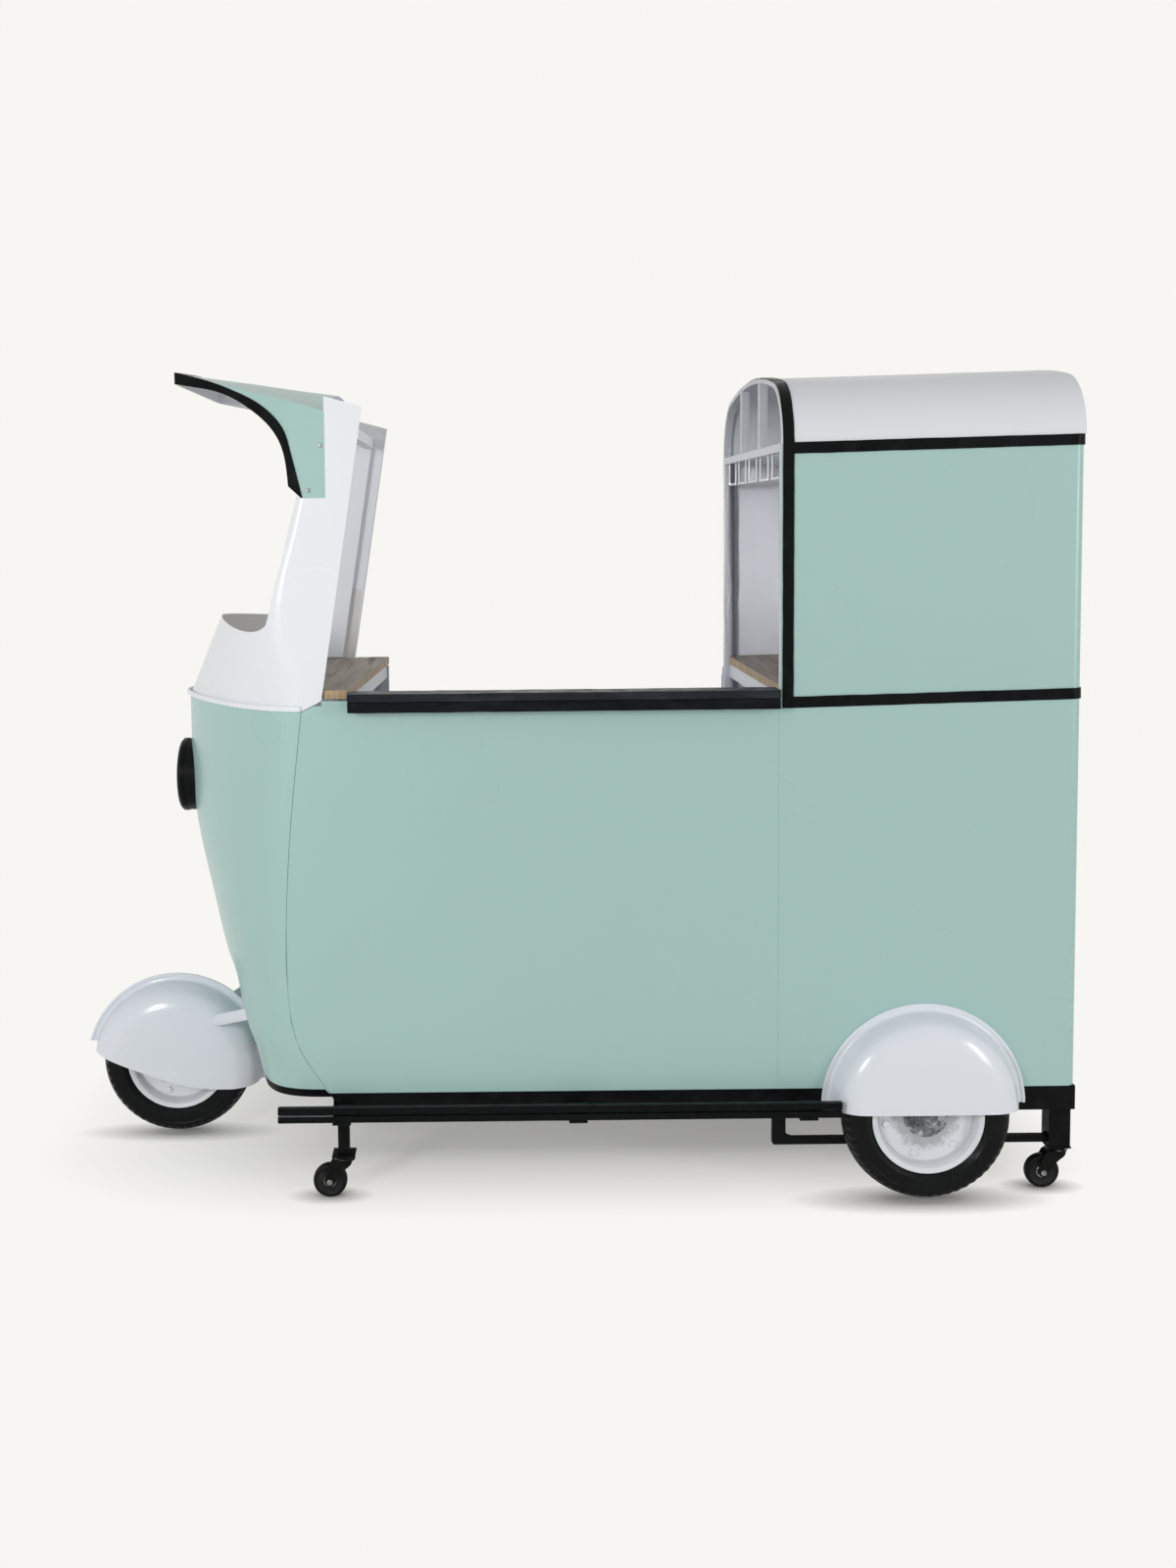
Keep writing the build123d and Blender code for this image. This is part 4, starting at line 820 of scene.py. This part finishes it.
# World: even light on the cart, and the plain background for the camera and for reflections
horizon_light = 0.80
zenith_light = 0.28
world = bpy.data.worlds.new("studio")
bpy.context.scene.world = world
world.use_nodes = True
tree = world.node_tree
tree.nodes.clear()
kinds = ("TexCoord", "SeparateXYZ", "MapRange", "LightPath", "Math", "MixShader", "Background", "Background",
         "OutputWorld")
direction, split, level, path, seen, blend, fill, plain_sky, output = (
    tree.nodes.new("ShaderNode" + kind) for kind in kinds)
fill.inputs["Color"].default_value = linear((255, 255, 255))
plain_sky.inputs["Color"].default_value = linear(background)
seen.operation = "MAXIMUM"
for i, number in enumerate((0.0, 0.95, horizon_light, zenith_light)):
    level.inputs[i + 1].default_value = number
for source, target in (
        (direction.outputs["Generated"], split.inputs[0]), (split.outputs["Z"], level.inputs["Value"]),
        (level.outputs[0], fill.inputs["Strength"]),
        (path.outputs["Is Camera Ray"], seen.inputs[0]), (path.outputs["Is Glossy Ray"], seen.inputs[1]),
        (seen.outputs[0], blend.inputs[0]), (fill.outputs[0], blend.inputs[1]),
        (plain_sky.outputs[0], blend.inputs[2]), (blend.outputs[0], output.inputs[0])):
    tree.links.new(source, target)


def softbox(name, place, target, width, height, power, spread=180):
    """Rectangular lamp that faces a target; the spread of its beam is in degrees."""
    lamp = bpy.data.lights.new(name, "AREA")
    lamp.shape = "RECTANGLE"
    lamp.size = width
    lamp.size_y = height
    lamp.energy = power
    lamp.spread = math.radians(spread)
    holder = bpy.data.objects.new(name, lamp)
    holder.location = place
    holder.rotation_mode = "QUATERNION"
    holder.rotation_quaternion = (Vector(target) - Vector(place)).to_track_quat("-Z", "Y")
    bpy.context.scene.collection.objects.link(holder)


softbox("left_softbox", (-2.5, -3.8, 2.0), (-0.5, -0.4, 0.7), 0.6, 0.9, 56)
softbox("right_softbox", (4.0, -3.4, 1.6), (0.4, -0.4, 0.8), 0.5, 1.6, 44)
softbox("hutch_softbox", (-1.6, -3.0, 1.9), (0.60, 0.42, 1.40), 0.3, 0.3, 0.25, 10)

# Camera, fitted to the photograph
camera_place = (-0.14225, -3.858, 1.508)
camera_pitch = 4.32
camera_roll = -0.60
camera = bpy.data.cameras.new("camera")
camera.sensor_width = 36.0
camera.lens = 36.54
camera.shift_x = 0.0623
camera.shift_y = -0.0914
eye = bpy.data.objects.new("camera", camera)
eye.matrix_world = (Matrix.Translation(camera_place)
                    @ Matrix.Rotation(math.radians(90 - camera_pitch), 4, "X")
                    @ Matrix.Rotation(math.radians(camera_roll), 4, "Z"))
bpy.context.scene.collection.objects.link(eye)
bpy.context.scene.camera = eye
bpy.context.scene.view_settings.view_transform = "Standard"
